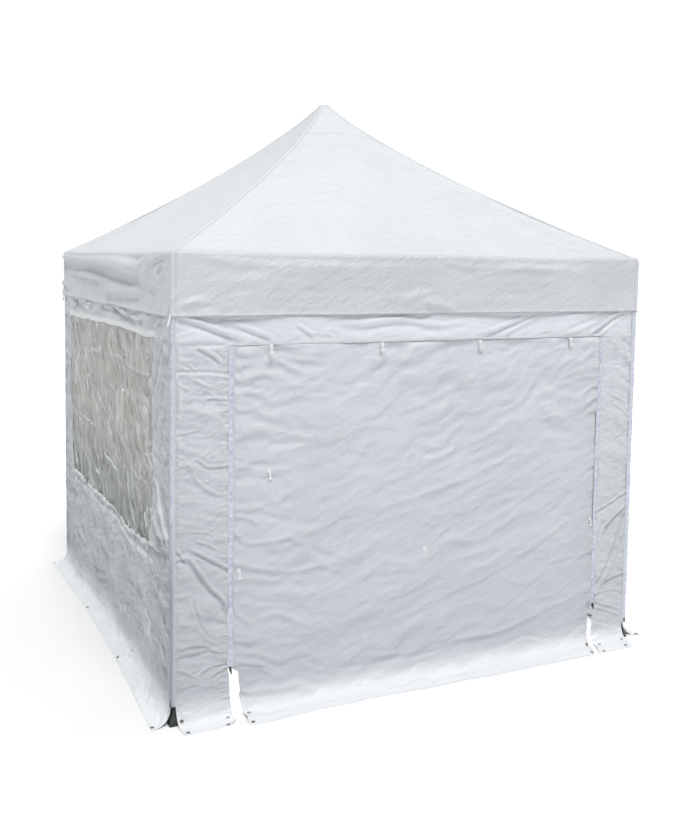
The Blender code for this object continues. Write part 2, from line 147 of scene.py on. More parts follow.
def near_line(s, z, points, reach):
    """Which places are near a line, and their distance, side (1 or -1) and place from 0 to 1 along it."""
    line = curve_points(points)
    (left, low), (right, high) = line.min(axis=0) - reach, line.max(axis=0) + reach
    near = (s > left) & (s < right) & (z > low) & (z < high)
    s, z = s[near], z[near]
    gap, side, place = np.full(s.shape, 1e9), np.zeros(s.shape), np.zeros(s.shape)
    run = 0.0
    for (x0, y0), (x1, y1) in zip(line, line[1:]):
        leg = math.hypot(x1 - x0, y1 - y0)
        dx, dy = (x1 - x0) / leg, (y1 - y0) / leg
        t = np.clip((s - x0) * dx + (z - y0) * dy, 0, leg)
        ox, oy = s - x0 - t * dx, z - y0 - t * dy
        away = np.hypot(ox, oy)
        closer = away < gap
        gap = np.where(closer, away, gap)
        side = np.where(closer, np.sign(dx * oy - dy * ox), side)
        place = np.where(closer, run + t, place)
        run += leg
    return near, gap, side, place / run


def fold(s, z, points, width, slope, start=0.0, end=0.0):
    """One crease along a line, in metres: above it the cloth stands out, below it falls back.

    slope is its steepest slope, and a negative one turns it over. start and end, from 0 to 1,
    say how much of it is left at its two ends.
    """
    near, gap, side, place = near_line(s, z, points, 5 * width)
    x = side * gap / width
    left = start + (1 - start) * smooth(0, 0.35, place)
    right = end + (1 - end) * smooth(0, 0.35, 1 - place)
    out = np.zeros(s.shape)
    out[near] = slope * width * x * np.exp(-x * x / 2) * left * right
    return out


def folds(s, z, rows, scale=1.0):
    """The sum of many creases: each row is (width in mm, slope, points, start, end)."""
    total = np.zeros(s.shape)
    for width, slope, points, *ends in rows:
        total += fold(s, z, points, width * scale / 1000, slope, *ends)
    return total


def mirrored(rows, strength=1.0):
    """The same creases seen from the cloth's other end."""
    turned_over = []
    for width, slope, points, *ends in rows:
        ends = [0, ends[0]] if len(ends) == 1 else ends[::-1]
        turned_over.append((width, slope * strength, [(-p, q) for p, q in points[::-1]], *ends))
    return turned_over


def marks(s, z, rows):
    """Painted light and shade lines: each row is (half width in mm, strength, points), and below 0 is a
    painted highlight, above it painted shade.
    """
    total = np.zeros(s.shape)
    for width, strength, points in rows:
        width /= 1000
        near, gap, *_ = near_line(s, z, points, 4 * width)
        total[near] += strength * np.exp(-((gap / width) ** 2))
    return total


def bell(value, middle, width):
    """1 in the middle, falling off to both sides."""
    return np.exp(-(((value - middle) / width) ** 2))


def layers(s, z, seed, rows):
    """Layers of creases in patches: each row is (height, step of the seed, angle, length, width, crest)
    and then the patches' step of the seed, size, low and high."""
    total = np.zeros(s.shape)
    for height, number, angle, length, width, crest, spot, size, low, high in rows:
        total += (height * wrinkles(s, z, seed + number, angle, length, width, crest)
                  * patches(s, z, seed + spot, size, low, high))
    return total


def puckers(distance, along, seed, reach, pitch, height):
    """Short creases that run away from a seam, as deep as height at the seam."""
    tall = noise(distance / (reach * 1.5), along / pitch, seed)
    fine = noise(distance / reach, along / pitch * 2.3, seed + 1)
    spread = reach * (0.75 + 0.5 * noise(distance * 0, along / (3 * pitch), seed + 2))
    return height * (tall + 0.45 * fine) * np.exp(-np.abs(distance) / spread)


# ---------------------------------------------------------------- meshes


def linked(name, data):
    """A new object in the scene for a mesh, a lamp or a camera."""
    thing = bpy.data.objects.new(name, data)
    bpy.context.scene.collection.objects.link(thing)
    return thing


def mesh_object(name, verts, faces, material, uv):
    """An object from arrays of points, of faces with four corners, and of those corners' places in UV."""
    mesh = bpy.data.meshes.new(name)
    mesh.vertices.add(len(verts))
    mesh.vertices.foreach_set("co", verts.astype(np.float32).ravel())
    mesh.loops.add(faces.size)
    mesh.loops.foreach_set("vertex_index", faces.astype(np.int32).ravel())
    mesh.polygons.add(len(faces))
    mesh.polygons.foreach_set("loop_start", np.arange(0, faces.size, 4, dtype=np.int32))
    mesh.update(calc_edges=True)
    layer = mesh.uv_layers.new(name="cloth")
    layer.data.foreach_set("uv", uv.astype(np.float32).ravel())
    mesh.validate()
    mesh.shade_smooth()
    mesh.materials.append(material)
    return linked(name, mesh)


def turned(points, turns):
    """Points of the front wall's frame, turned about Z to another side."""
    points = np.asarray(points, float)
    c, d = QUARTERS[turns]
    x, y, z = points[..., 0], points[..., 1], points[..., 2]
    return np.stack([x * c - y * d, x * d + y * c, z], axis=-1)


def grid_normals(points):
    """Unit normals of a grid of points, seen with the rows going down and the columns right."""
    right = np.gradient(points, axis=1)
    down = np.gradient(points, axis=0)
    n = np.cross(down, right)
    return n / np.maximum(np.linalg.norm(n, axis=2, keepdims=True), 1e-12)


def cloth_object(name, points, u, v, material, missing=None, thickness=FABRIC, hollow=None, mark=None,
                 closed=False):
    """A thin closed sheet on a grid of points, without the missing cells.

    closed joins the last column to the first. hollow says how hollow the cloth is at each point and
    mark how much darker, or below 0 lighter, it is painted there: its colour reads them as attributes,
    for painted shade in the hollows, painted highlights on the crests and painted light and shade lines.
    """
    rows, columns, _ = points.shape
    normals = grid_normals(points)
    if closed:
        wrapped = np.concatenate([points[:, -2:], points, points[:, :2]], axis=1)
        normals = grid_normals(wrapped)[:, 2:-2]
    verts = np.concatenate([(points + side * normals * thickness / 2).reshape(-1, 3) for side in (1, -1)])
    index = np.arange(rows * columns).reshape(rows, columns)
    following = np.roll(index, -1, axis=1) if closed else index[:, 1:]
    this = index if closed else index[:, :-1]
    cells = np.stack([this[:-1], this[1:], following[1:], following[:-1]], axis=-1)
    quads = cells.reshape(-1, 4) if missing is None else cells[~missing]
    count = rows * columns
    edges = np.concatenate([quads[:, [k, (k + 1) % 4]] for k in range(4)])
    forward = edges[:, 0].astype(np.int64) * count + edges[:, 1]
    backward = edges[:, 1].astype(np.int64) * count + edges[:, 0]
    rim = edges[~np.isin(forward, backward)]
    walls = np.stack([rim[:, 1], rim[:, 0], rim[:, 0] + count, rim[:, 1] + count], axis=1)
    faces = np.concatenate([quads, quads[:, ::-1] + count, walls])
    used = np.zeros(len(verts), bool)
    used[faces.ravel()] = True
    renumber = np.cumsum(used) - 1
    uv = np.tile(np.stack([u.ravel(), v.ravel()], axis=1), (2, 1))[faces]
    if closed:  # the last cells run on to the first column
        first = (uv[..., 0] < u.mean()) & (np.ptp(uv[..., 0], axis=1) > np.ptp(u) / 2)[:, None]
        uv[..., 0] += first * (np.ptp(u) + 2 * abs(u.min() + HALF))
    thing = mesh_object(name, verts[used], renumber[faces], material, uv)
    for label, values in (("fold", hollow), ("mark", mark)):
        if values is not None:
            layer = thing.data.attributes.new(label, "FLOAT", "POINT")
            layer.data.foreach_set("value", np.tile(values.ravel(), 2)[used].astype(np.float32))
    return thing


def beside(grid):
    """The sum of each inner place's four neighbours in a grid."""
    return grid[2:, 1:-1] + grid[:-2, 1:-1] + grid[1:-1, 2:] + grid[1:-1, :-2]


def hollows(height, step):
    """How hollow each place of a grid of heights is, from -1 on a crest to 1 in a valley."""
    bend = np.zeros_like(height)
    bend[1:-1, 1:-1] = (beside(height) - 4 * height[1:-1, 1:-1]) / step**2
    for _ in range(2):
        bend[1:-1, 1:-1] = (beside(bend) + 2 * bend[1:-1, 1:-1]) / 6
    return np.tanh(bend / 14)


# ---------------------------------------------------------------- walls


def profile(down):
    """A wall at a length of cloth below its top: how far out, its height, and its normal."""
    angle = np.clip((down - STRAIGHT) / BEND, 0, math.pi / 2)
    flat = np.maximum(down - STRAIGHT - ARC, 0)
    out = WALL_MID + BEND * (1 - np.cos(angle)) + flat
    z = np.where(down < STRAIGHT, WALL_TOP_Z - down, BEND_Z - BEND * np.sin(angle))
    return out, z, np.cos(angle), np.sin(angle)


def evenly(stops, step):
    """Places from the first stop to the last, about a step apart and with each stop among them."""
    places = [np.array([stops[0]])]
    for a, b in zip(stops, stops[1:]):
        places.append(np.linspace(a, b, max(2, round(abs(b - a) / step) + 1))[1:])
    return np.concatenate(places)


def wall_rows(reach, step, breaks=()):
    """Lengths of cloth from the top of a wall to the end of its flap, with rows at the breaks."""
    end = STRAIGHT + ARC + CLOTH / 2 + reach - BEND
    return evenly([0.0, *[WALL_TOP_Z - z for z in breaks], end], step)


def cells_between(grid):
    """A grid's value in the middle of each cell."""
    return (grid[:-1, :-1] + grid[1:, 1:]) / 2


SHEETS = {}  # each wall's grid, for the pieces that are set on it


def wall_object(name, side, s, down, height, step, material, missing=None, shift=0.0, lift=0.0,
                thickness=FABRIC, seams_and_painted_shading=0.0, bow=0.0, sag=0.0):
    """A wall sheet from its grid: s is each point's place along the wall, down each row's length.

    shift and lift move it along the wall and upwards. bow is how much shorter its flap is cut at each
    place, sag how far the wall hangs inwards.
    """
    out, z, normal_out, normal_z = (a[:, None] for a in profile(down))
    flat = np.maximum(out - WALL_MID - BEND, 0)
    share = flat / max(flat.max(), 1e-9)
    out = out - share * bow - sag
    height = height * (1 - 0.93 * smooth(0.30, 0.95, share))  # the flap's end lies on the ground
    lowest = (thickness / 2 + 0.0003 - z) / np.maximum(normal_z, 0.05)
    height -= 0.0014 * share**2
    height = np.where(normal_z > 0.2, np.maximum(height, lowest), height)
    points = np.stack([s + shift, -(out + height * normal_out), z + height * normal_z + lift], axis=-1)
    world = turned(points, TURNS[side])
    v = np.repeat(down[:, None], s.shape[1], axis=1)
    # seams_and_painted_shading goes on as the mark attribute: seam lines, and painted light and shade lines
    thing = cloth_object(name, world, s, v, material, missing, thickness, hollows(height, step), seams_and_painted_shading + 0 * s)
    SHEETS[name] = (s, down, world, grid_normals(world))
    return thing


def on_sheet(name, s, length):
    """A point of a wall sheet and its normal, at a place along it and a length of cloth down it."""
    grid_s, down, points, normals = SHEETS[name]
    row = int(np.argmin(np.abs(down - length)))
    column = int(np.argmin(np.abs(grid_s[row] - s)))
    return Vector(points[row, column]), Vector(normals[row, column])


def wall_grid(s, down):
    """A wall's places along it and heights, which go on below the floor for its flap."""
    return np.meshgrid(s, WALL_TOP_Z - down)


# Creases read off the front wall, each (width in mm, slope, points as (s, height), start, end)
HEADER_FOLDS = [
    (17, 0.60, [(-1.455, 2.10), (-1.28, 2.035), (-1.10, 1.972)], 1),
    (15, 0.50, [(-1.20, 2.066), (-1.06, 2.02), (-0.93, 1.972)]),
    (13, 0.38, [(-0.84, 2.057), (-0.70, 1.98)]),
    (8, 0.35, [(-0.70, 1.986), (-0.657, 1.997), (-0.60, 1.984)]),
    (24, 0.30, [(-0.69, 2.080), (-0.45, 2.040), (-0.20, 2.062), (0.06, 2.026), (0.33, 2.062)]),
    (16, 0.55, [(0.33, 1.970), (0.50, 2.020), (0.68, 2.072)]),
    (14, 0.32, [(0.47, 1.961), (0.754, 2.069)]),
    (17, -0.34, [(0.906, 1.970), (1.209, 2.063)]),
    (13, 0.55, [(1.150, 1.972), (1.25, 2.025), (1.336, 2.078)], 0.6, 1),
    (11, -0.42, [(1.205, 1.968), (1.384, 2.073)], 1, 1),
]
LEFT_JAMB_FOLDS = [
    (14, 0.50, [(-1.40, 1.960), (-1.296, 1.912), (-1.216, 1.848)]),
    (10, -0.55, [(-1.462, 1.821), (-1.32, 1.816), (-1.19, 1.801)], 1, 1),
    (9, 0.30, [(-1.42, 1.870), (-1.37, 1.823)]),
    (12, 0.32, [(-1.40, 1.789), (-1.27, 1.727)]),
    (9, 0.50, [(-1.348, 1.680), (-1.269, 1.681), (-1.19, 1.672)], 0, 1),
    (9, 0.34, [(-1.462, 1.761), (-1.40, 1.723)], 1),
    (9, 0.28, [(-1.462, 1.508), (-1.348, 1.521)], 1),
    (9, 0.60, [(-1.40, 1.391), (-1.347, 1.362), (-1.305, 1.332), (-1.19, 1.325)], 0, 1),
    (8, 0.45, [(-1.462, 1.350), (-1.426, 1.342), (-1.40, 1.356)], 1),
    (8, 0.42, [(-1.462, 1.396), (-1.41, 1.372)], 1),
    (17, 0.32, [(-1.399, 1.325), (-1.347, 1.243), (-1.229, 1.164)]),
    (9, 0.32, [(-1.42, 1.002), (-1.319, 0.991), (-1.266, 0.964)]),
    (10, 0.38, [(-1.399, 0.963), (-1.319, 0.928), (-1.228, 0.880)]),
    (13, 0.58, [(-1.42, 0.919), (-1.319, 0.865), (-1.184, 0.779)], 0, 0.7),
    (8, 0.75, [(-1.470, 0.915), (-1.435, 0.864), (-1.409, 0.834)], 1),
    (16, 0.68, [(-1.47, 0.862), (-1.409, 0.860), (-1.356, 0.791), (-1.292, 0.698), (-1.227, 0.626),
                (-1.193, 0.557)], 0.4, 0.6),
    (10, -0.50, [(-1.398, 0.702), (-1.366, 0.566), (-1.323, 0.465), (-1.269, 0.414), (-1.193, 0.396)]),
    (9, 0.45, [(-1.461, 0.397), (-1.344, 0.399), (-1.28, 0.367), (-1.225, 0.342)], 1),
    (9, 0.45, [(-1.45, 0.359), (-1.371, 0.361), (-1.29, 0.364), (-1.203, 0.328)], 1),
    (8, 0.48, [(-1.365, 0.233), (-1.29, 0.273), (-1.20, 0.279)], 0, 1),
    (8, 0.44, [(-1.311, 0.212), (-1.257, 0.235), (-1.192, 0.256)], 0, 1),
    (9, 0.30, [(-1.45, 0.279), (-1.344, 0.218)], 1),
    (9, 0.26, [(-1.45, 0.184), (-1.344, 0.197)], 1),
]
RIGHT_JAMB_FOLDS = [
    (9, 0.30, [(1.285, 1.775), (1.381, 1.778), (1.47, 1.788)], 0, 1),
    (10, 0.42, [(1.328, 1.534), (1.394, 1.492), (1.468, 1.434)], 0, 1),
    (12, 0.28, [(1.277, 1.593), (1.375, 1.557), (1.467, 1.508)]),
    (10, 0.25, [(1.375, 1.923), (1.453, 1.971)]),
    (9, 0.28, [(1.339, 1.292), (1.466, 1.361)], 0, 1),
    (9, 0.34, [(1.421, 1.255), (1.474, 1.347)], 0, 1),
    (10, 0.50, [(1.234, 0.842), (1.356, 0.894), (1.474, 0.948)], 1, 1),
    (15, 0.62, [(1.271, 0.626), (1.30, 0.720), (1.361, 0.791), (1.474, 0.863)], 0, 1),
    (15, -0.62, [(1.236, 0.330), (1.304, 0.429), (1.372, 0.543), (1.416, 0.668), (1.478, 0.817)], 1, 0.6),
    (12, 0.52, [(1.283, 0.347), (1.362, 0.401), (1.475, 0.417)], 0, 1),
    (10, 0.36, [(1.24, 0.312), (1.382, 0.320), (1.475, 0.292)], 1),
    (12, 0.45, [(1.339, 0.547), (1.40, 0.644), (1.475, 0.679)], 0, 1),
    (9, 0.40, [(1.234, 0.262), (1.387, 0.208), (1.475, 0.167)], 1),
    (9, 0.34, [(1.234, 0.232), (1.389, 0.169), (1.473, 0.130)], 1),
]
DOOR_FOLDS = [
    (7, -0.30, [(-1.17, 1.327), (-1.077, 1.325), (-0.79, 1.297)], 1),
    (8, 0.38, [(-1.157, 1.856), (-1.13, 1.814), (-1.102, 1.772)]),
    (8, 0.38, [(-1.146, 1.773), (-1.103, 1.865)]),
    (19, -0.32, [(-1.167, 1.785), (-1.081, 1.833), (-0.97, 1.861)]),
    (21, 0.36, [(-1.135, 1.757), (-1.025, 1.789), (-0.913, 1.780)]),
    (18, 0.32, [(-1.135, 1.711), (-1.047, 1.701), (-0.969, 1.713)]),
    (10, 0.34, [(-1.17, 1.655), (-1.134, 1.607), (-1.052, 1.612)], 1),
    (10, 0.42, [(-1.165, 1.273), (-1.09, 1.280)], 1),
    (14, 0.38, [(-1.165, 1.056), (-1.086, 1.034), (-1.008, 0.988)], 1),
    (14, 0.38, [(-1.165, 0.965), (-1.074, 0.899), (-0.933, 0.905), (-0.847, 0.911), (-0.789, 0.877),
                (-0.731, 0.898)], 1),
    (21, 0.38, [(-1.15, 0.800), (-1.006, 0.757), (-0.845, 0.720), (-0.70, 0.721), (-0.5, 0.745)], 1),
    (16, 0.42, [(-1.165, 0.557), (-1.116, 0.502), (-1.049, 0.459)], 1),
    (10, -0.34, [(-1.16, 0.401), (-1.037, 0.381)], 1),
    (10, 0.52, [(-1.14, 0.263), (-1.013, 0.241), (-0.927, 0.237)], 1),
    (11, 0.38, [(-1.15, 0.282), (-0.927, 0.210)], 1),
    (11, -0.30, [(-0.721, 0.146), (-0.478, 0.131), (-0.225, 0.122), (0.106, 0.138)]),
    (11, -0.38, [(-0.191, 0.081), (-0.081, 0.110), (0.106, 0.138)]),
    (13, -0.42, [(0.494, 0.043), (0.602, 0.087), (0.712, 0.113), (0.863, 0.076)]),
    (10, -0.34, [(0.719, 0.124), (0.886, 0.072), (0.978, 0.096)]),
    (20, 0.26, [(-0.479, 0.189), (-0.225, 0.156), (0.039, 0.139)]),
    (22, 0.32, [(-0.028, 0.150), (0.243, 0.173), (0.526, 0.180), (0.745, 0.225), (0.95, 0.30)]),
    (10, 0.48, [(0.993, 1.686), (1.147, 1.699), (1.208, 1.703)], 0, 1),
    (12, 0.58, [(1.073, 1.590), (1.150, 1.624), (1.208, 1.642)], 0, 1),
    (12, 0.52, [(1.107, 1.526), (1.168, 1.554), (1.208, 1.578)], 0, 1),
    (13, -0.45, [(1.094, 1.465), (1.155, 1.505), (1.208, 1.530)], 0, 1),
    (10, 0.38, [(1.12, 1.112), (1.208, 1.136)], 0, 1),
    (10, 0.38, [(1.025, 0.863), (1.205, 0.896)], 0, 1),
    (14, 0.42, [(1.076, 0.554), (1.205, 0.595)], 0, 1),
    (15, 0.32, [(0.846, 0.545), (0.96, 0.568), (1.115, 0.581)]),
    (8, -0.38, [(0.798, 1.863), (0.909, 1.903), (0.978, 1.918)], 0, 1),
    (8, -0.32, [(0.912, 1.824), (0.984, 1.901)], 0, 1),
    (14, 0.30, [(-0.96, 1.90), (-0.80, 1.862), (-0.62, 1.85)]),
    (12, 0.28, [(-0.95, 1.875), (-0.84, 1.82)]),
    (18, 0.15, [(-0.35, 1.50), (0.05, 1.62), (0.42, 1.80)]),
    (22, 0.17, [(-0.20, 1.18), (0.25, 1.33), (0.62, 1.47)]),
    (24, 0.18, [(-0.52, 0.98), (0.08, 1.09), (0.50, 1.22), (0.86, 1.40)]),
    (20, 0.17, [(-0.10, 0.72), (0.36, 0.84), (0.80, 1.04), (1.16, 1.24)]),
    (22, 0.19, [(0.04, 0.42), (0.48, 0.55), (0.92, 0.76), (1.18, 0.92)]),
    (20, 0.16, [(-0.65, 0.52), (-0.20, 0.50), (0.20, 0.60)]),
    (20, 0.16, [(-0.80, 0.33), (-0.35, 0.34), (0.10, 0.44), (0.52, 0.62)]),
]


def tame(h, s):
    """Keeps a wall off the legs behind its ends, and level where it is sewn to its corner zips."""
    end = WALL_END - np.abs(s)
    deepest = np.interp(end, (0, 0.018, 0.024, 0.10, 0.14), (0.0022, 0.003, 0.008, 0.009, 0.014))
    proudest = np.interp(end, (0, 0.018, 0.024, 0.06), (0.0022, 0.0026, 0.010, 0.030))
    return np.clip(h, -deepest, proudest)


# Puckers along the front wall's seams: where, which way from it, seed, reach, pitch and height
STRIP_PUCKERS = (
    (-WALL_END, 1, 15, 0.055, 0.022, 0.0044),
    (JAMB_LEFT, -1, 16, 0.035, 0.026, 0.0032),
    (WALL_END, -1, 17, 0.050, 0.030, 0.0048),
    (JAMB_RIGHT, 1, 18, 0.028, 0.034, 0.0030),
)


def front_folds(s, z):
    """The front wall's shape: header leaning out to its lower edge, creased strips, puckered zips."""
    header = smooth(1.94, 1.965, z)
    strips = 1 - header
    over = smooth(1.15, 1.24, np.abs(s))  # over a side strip the header runs into it
    start = (1 - over) * smooth(1.944, 1.972, z) + over * smooth(1.84, 1.97, z)
    h = (smooth(2.100, 1.985, z) * start * (0.0065 + 0.003 * noise(s / 0.45, z * 0, 11))
         * smooth(0, 0.10, WALL_END - np.abs(s)))
    h += header * 2.8 * folds(s, z, HEADER_FOLDS, 0.75)
    h += header * (0.0030 * wrinkles(s, z, 12, 8, 0.20, 0.040) + 0.0070 * noise(s / 0.40, z / 0.12, 37))
    deeper = 1 + 0.5 * smooth(1.25, 0.75, z)
    creases = 2.2 * folds(s, z, LEFT_JAMB_FOLDS + RIGHT_JAMB_FOLDS, 0.66)
    creases += 0.0042 * wrinkles(s, z, 14, -14, 0.30, 0.055, 0.3)
    creases += 0.0018 * wrinkles(s, z, 19, 12, 0.07, 0.022)
    h += strips * (deeper * creases + 0.0075 * wrinkles(s, z, 20, -28, 0.34, 0.105, 0.3)
                   + 0.0090 * noise(s / 0.30, z / 0.12, 13))
    for seam, away, *pucker in STRIP_PUCKERS:
        h += strips * (s * seam > 0) * puckers(away * (s - seam), z, *pucker)
    return tame(h, s) * smooth(2.115, 2.085, z)


# The door's fine layers, as rows for layers()
DOOR_LAYERS = (
    (0.0022, 26, 14, 0.20, 0.036, 0.30, 27, 0.26, -0.1, 0.5),
    (0.0020, 34, 6, 0.22, 0.040, 0.30, 35, 0.26, -0.1, 0.5),
)


def door_folds(s, z):
    """The door's shape: broad creases that rise to the right, gathered along both zips."""
    middle = smooth(-1.0, -0.3, s)
    most = 0.5 + 0.5 * middle
    calm = 0.55 + 0.45 * smooth(-0.2, 0.5, noise(s / 0.5, z / 0.5, 33))
    from_left, from_right = s - DOOR_LEFT, DOOR_RIGHT - s
    h = 1.7 * folds(s, z, DOOR_FOLDS, 0.8)
    h += 0.0120 * noise(s / 0.50, z / 0.34, 21)
    h += 0.0170 * most * wrinkles(s, z, 22, 15, 0.44, 0.130, 0.25) * calm
    h += most * layers(s, z, 0, [(0.0056, 24, 20, 0.28, 0.066, 0.30, 25, 0.36, -0.3, 0.4)])
    h += layers(s, z, 0, DOOR_LAYERS)
    h += (0.0080 + 0.0060 * smooth(1.1, 0.7, z)) * (1 - middle) * wrinkles(s, z, 28, -8, 0.30, 0.066, 0.35)
    h += puckers(from_left, z, 29, 0.055, 0.042, 0.0042)
    h += puckers(from_right, z + 0.30 * from_right, 30, 0.075, 0.045, 0.0058)
    h += 0.0022 * smooth(1.78, 1.93, z) * wrinkles(s, z, 31, 2, 0.20, 0.026, 0.4)
    h += 0.0014 * np.exp(-from_left / 0.35) * noise(s / 0.08, z / 0.05, 32)
    return np.maximum(h, -0.014) * smooth(1.952, 1.925, z)


def flap_waves(s, down, seed):
    """Slow waves of a ground flap, from the bend to its end."""
    down = down[:, None]
    low = smooth(WALL_TOP_Z - 0.16, WALL_TOP_Z + 0.02, down)
    h = 0.0030 * noise(s / 0.36, down / 0.2, seed) + 0.0020 * noise(s / 0.13, down / 0.09, seed + 1)
    return low * h * smooth(WALL_TOP_Z + 0.14, WALL_TOP_Z + 0.06, down)


# How much shorter the front flap is cut along the wall: its two ends, and the door's part of it
END_BOW = ((-WALL_END, -1.30, -1.19, 0.0, WALL_END), (0.033, 0.036, 0.052, 0.0, 0.0))
DOOR_BOW = ((-1.17, -1.10, -1.0, -0.84, -0.70, -0.55, -0.415, -0.20, 0.017, 0.20, 0.36, 1.21),
            (0.006, 0.0, 0.002, 0.014, 0.024, 0.018, 0.026, 0.018, 0.004, 0.014, 0.0, 0.0))

# How far rows move along the wall beside the door, where the cloth parts: by the drop below the zips
JAMB_PARTS = {
    "left": ((0, 0.025, 0.18, 0.29, 0.37), (0, 0.005, 0.012, 0.018, -0.004)),
    "right": ((0, 0.025, 0.18, 0.29, 0.37), (0, -0.008, -0.011, -0.025, -0.075)),
}
END_PARTS = {
    "left": ((0, 0.14, 0.16, 0.37), (0, 0, 0.006, 0.016)),
    "right": ((0, 0.14, 0.16, 0.29, 0.37), (0, 0, -0.006, -0.018, -0.055)),
}
DOOR_PARTS = {
    "left": ((0, 0.008, 0.025, 0.18, 0.29, 0.37), (0, 0.006, 0.036, 0.046, 0.057, 0.044)),
    "right": ((0, 0.008, 0.025, 0.18, 0.29, 0.37), (0, -0.002, -0.013, -0.033, -0.048, -0.085)),
}


def parted(down, table):
    """How far each row is moved along the wall, by how far it is below the end of the door's zips."""
    return np.interp(np.maximum(down - (WALL_TOP_Z - ZIP_LOW_Z), 0), *table)[:, None]


def front_wall(material):
    down = wall_rows(FRONT_REACH, FINE_STEP, (DOOR_TOP_Z,))
    s, z = wall_grid(np.concatenate([
        evenly((-WALL_END, JAMB_LEFT), FINE_STEP),
        evenly((JAMB_LEFT, JAMB_RIGHT), DOOR_STEP)[1:-1],
        evenly((JAMB_RIGHT, WALL_END), FINE_STEP),
    ]), down)
    shift = {}
    for side, jamb, hand in (("left", JAMB_LEFT, 1), ("right", JAMB_RIGHT, -1)):
        share = np.clip(hand * (s + hand * WALL_END) / (WALL_END - abs(jamb)), 0, 1)
        shift[side] = parted(down, END_PARTS[side]) * (1 - share) + parted(down, JAMB_PARTS[side]) * share
    shift = np.where(s < 0, shift["left"], shift["right"])
    middle_s, middle_z = cells_between(s), cells_between(z)
    missing = (middle_z < DOOR_TOP_Z) & (middle_s > JAMB_LEFT) & (middle_s < JAMB_RIGHT)
    # a painted highlight along the header's lower edge over the door, and the strip right of the door a
    # little lighter
    painted_hem_light = -0.8 * bell(z, 1.956, 0.006) * smooth(1.22, 1.18, np.abs(s)) - 0.2 * smooth(1.22, 1.24, s)
    return wall_object("front_wall_cloth", "front", s, down, front_folds(s, z) + flap_waves(s, down, 40),
                       FINE_STEP, material, missing, shift, seams_and_painted_shading=painted_hem_light, bow=np.interp(s, *END_BOW))


def door(material):
    top = WALL_TOP_Z - DOOR_TOP_Z
    down = wall_rows(FRONT_REACH, DOOR_STEP)
    down = np.concatenate([[top + 0.0005], down[down > top + 0.004]])
    s, z = wall_grid(evenly((DOOR_LEFT + 0.0005, DOOR_RIGHT - 0.0005), DOOR_STEP), down)
    shift = (parted(down, DOOR_PARTS["left"]) * np.exp(-(s - DOOR_LEFT) / 0.16)
             + parted(down, DOOR_PARTS["right"]) * np.exp(-(DOOR_RIGHT - s) / 0.20))
    return wall_object("door_cloth", "front", s, down, door_folds(s, z) + flap_waves(s, down, 44), DOOR_STEP,
                       material, None, shift, bow=np.interp(s, *DOOR_BOW))


# Creases read off the left wall and its film, and the painted highlights and painted shade lines that go with
# them
LEFT_WALL_FOLDS = [
    (11, 0.70, [(1.235, 1.225), (1.315, 1.150), (1.39, 1.065), (1.46, 0.975)], 0.3, 0.6),
    (15, -0.75, [(1.220, 1.190), (1.295, 1.115), (1.375, 1.030), (1.45, 0.940)], 0.3, 0.8),
    (10, -0.70, [(1.190, 0.985), (1.31, 0.948), (1.44, 0.912)], 0.4, 1),
    (11, 0.80, [(1.180, 0.960), (1.31, 0.925), (1.44, 0.890)], 0.4, 1),
    (12, 0.70, [(1.07, 0.835), (1.12, 0.806), (1.251, 0.828), (1.42, 0.885)], 0.5, 0.6),
    (9, 0.60, [(-1.197, 2.090), (-1.06, 2.04), (-0.925, 1.995)]),
    (12, -0.55, [(-1.05, 2.095), (-0.98, 2.05), (-0.90, 2.03)]),
    (10, 0.70, [(0.984, 2.013), (1.171, 2.094)], 0.4, 1),
    (10, 0.70, [(1.069, 2.008), (1.213, 2.085)], 0.4, 1),
    (10, 0.60, [(1.13, 1.990), (1.29, 2.080)], 0.4, 1),
    (12, 0.60, [(-0.50, 2.095), (-0.45, 2.04), (-0.429, 1.985)]),
    (14, -0.60, [(0.10, 2.098), (0.25, 2.05), (0.40, 2.02)]),
    (14, 0.70, [(0.229, 2.090), (0.416, 2.064), (0.737, 2.050), (1.027, 2.080)]),
    (14, -0.50, [(-0.30, 2.04), (0.10, 2.055), (0.60, 2.02), (0.95, 2.00)]),
    (11, 0.60, [(1.318, 0.740), (1.471, 0.708)], 0, 1),
    (12, -0.60, [(1.05, 0.775), (1.197, 0.800), (1.318, 0.855)]),
    (13, 0.60, [(1.18, 1.66), (1.25, 1.85), (1.33, 2.02)]),
    (13, -0.50, [(1.20, 1.52), (1.30, 1.72), (1.40, 1.95)]),
    (12, 0.50, [(1.27, 1.33), (1.33, 1.50), (1.42, 1.70)]),
    (12, 0.45, [(1.19, 1.42), (1.24, 1.58), (1.27, 1.70)]),
    (10, 0.50, [(1.30, 1.285), (1.38, 1.34), (1.465, 1.40)], 0, 1),
    (20, 0.40, [(0.208, 0.45), (0.42, 0.30), (0.60, 0.20)]),
    (20, 0.40, [(0.55, 0.62), (0.80, 0.48), (1.05, 0.36)]),
    (20, 0.40, [(-0.30, 0.48), (0.0, 0.34), (0.25, 0.22)]),
    (18, 0.35, [(-0.90, 0.62), (-0.60, 0.44), (-0.40, 0.30)]),
    (16, 0.60, [(1.05, 0.70), (1.20, 0.60), (1.36, 0.52), (1.47, 0.50)], 0, 1),
    (12, 0.60, [(1.15, 0.42), (1.30, 0.36), (1.47, 0.34)], 0, 1),
    (10, 0.60, [(1.33, 0.62), (1.47, 0.585)], 0, 1),
    (10, 0.50, [(1.25, 0.27), (1.47, 0.215)], 0, 1),
]
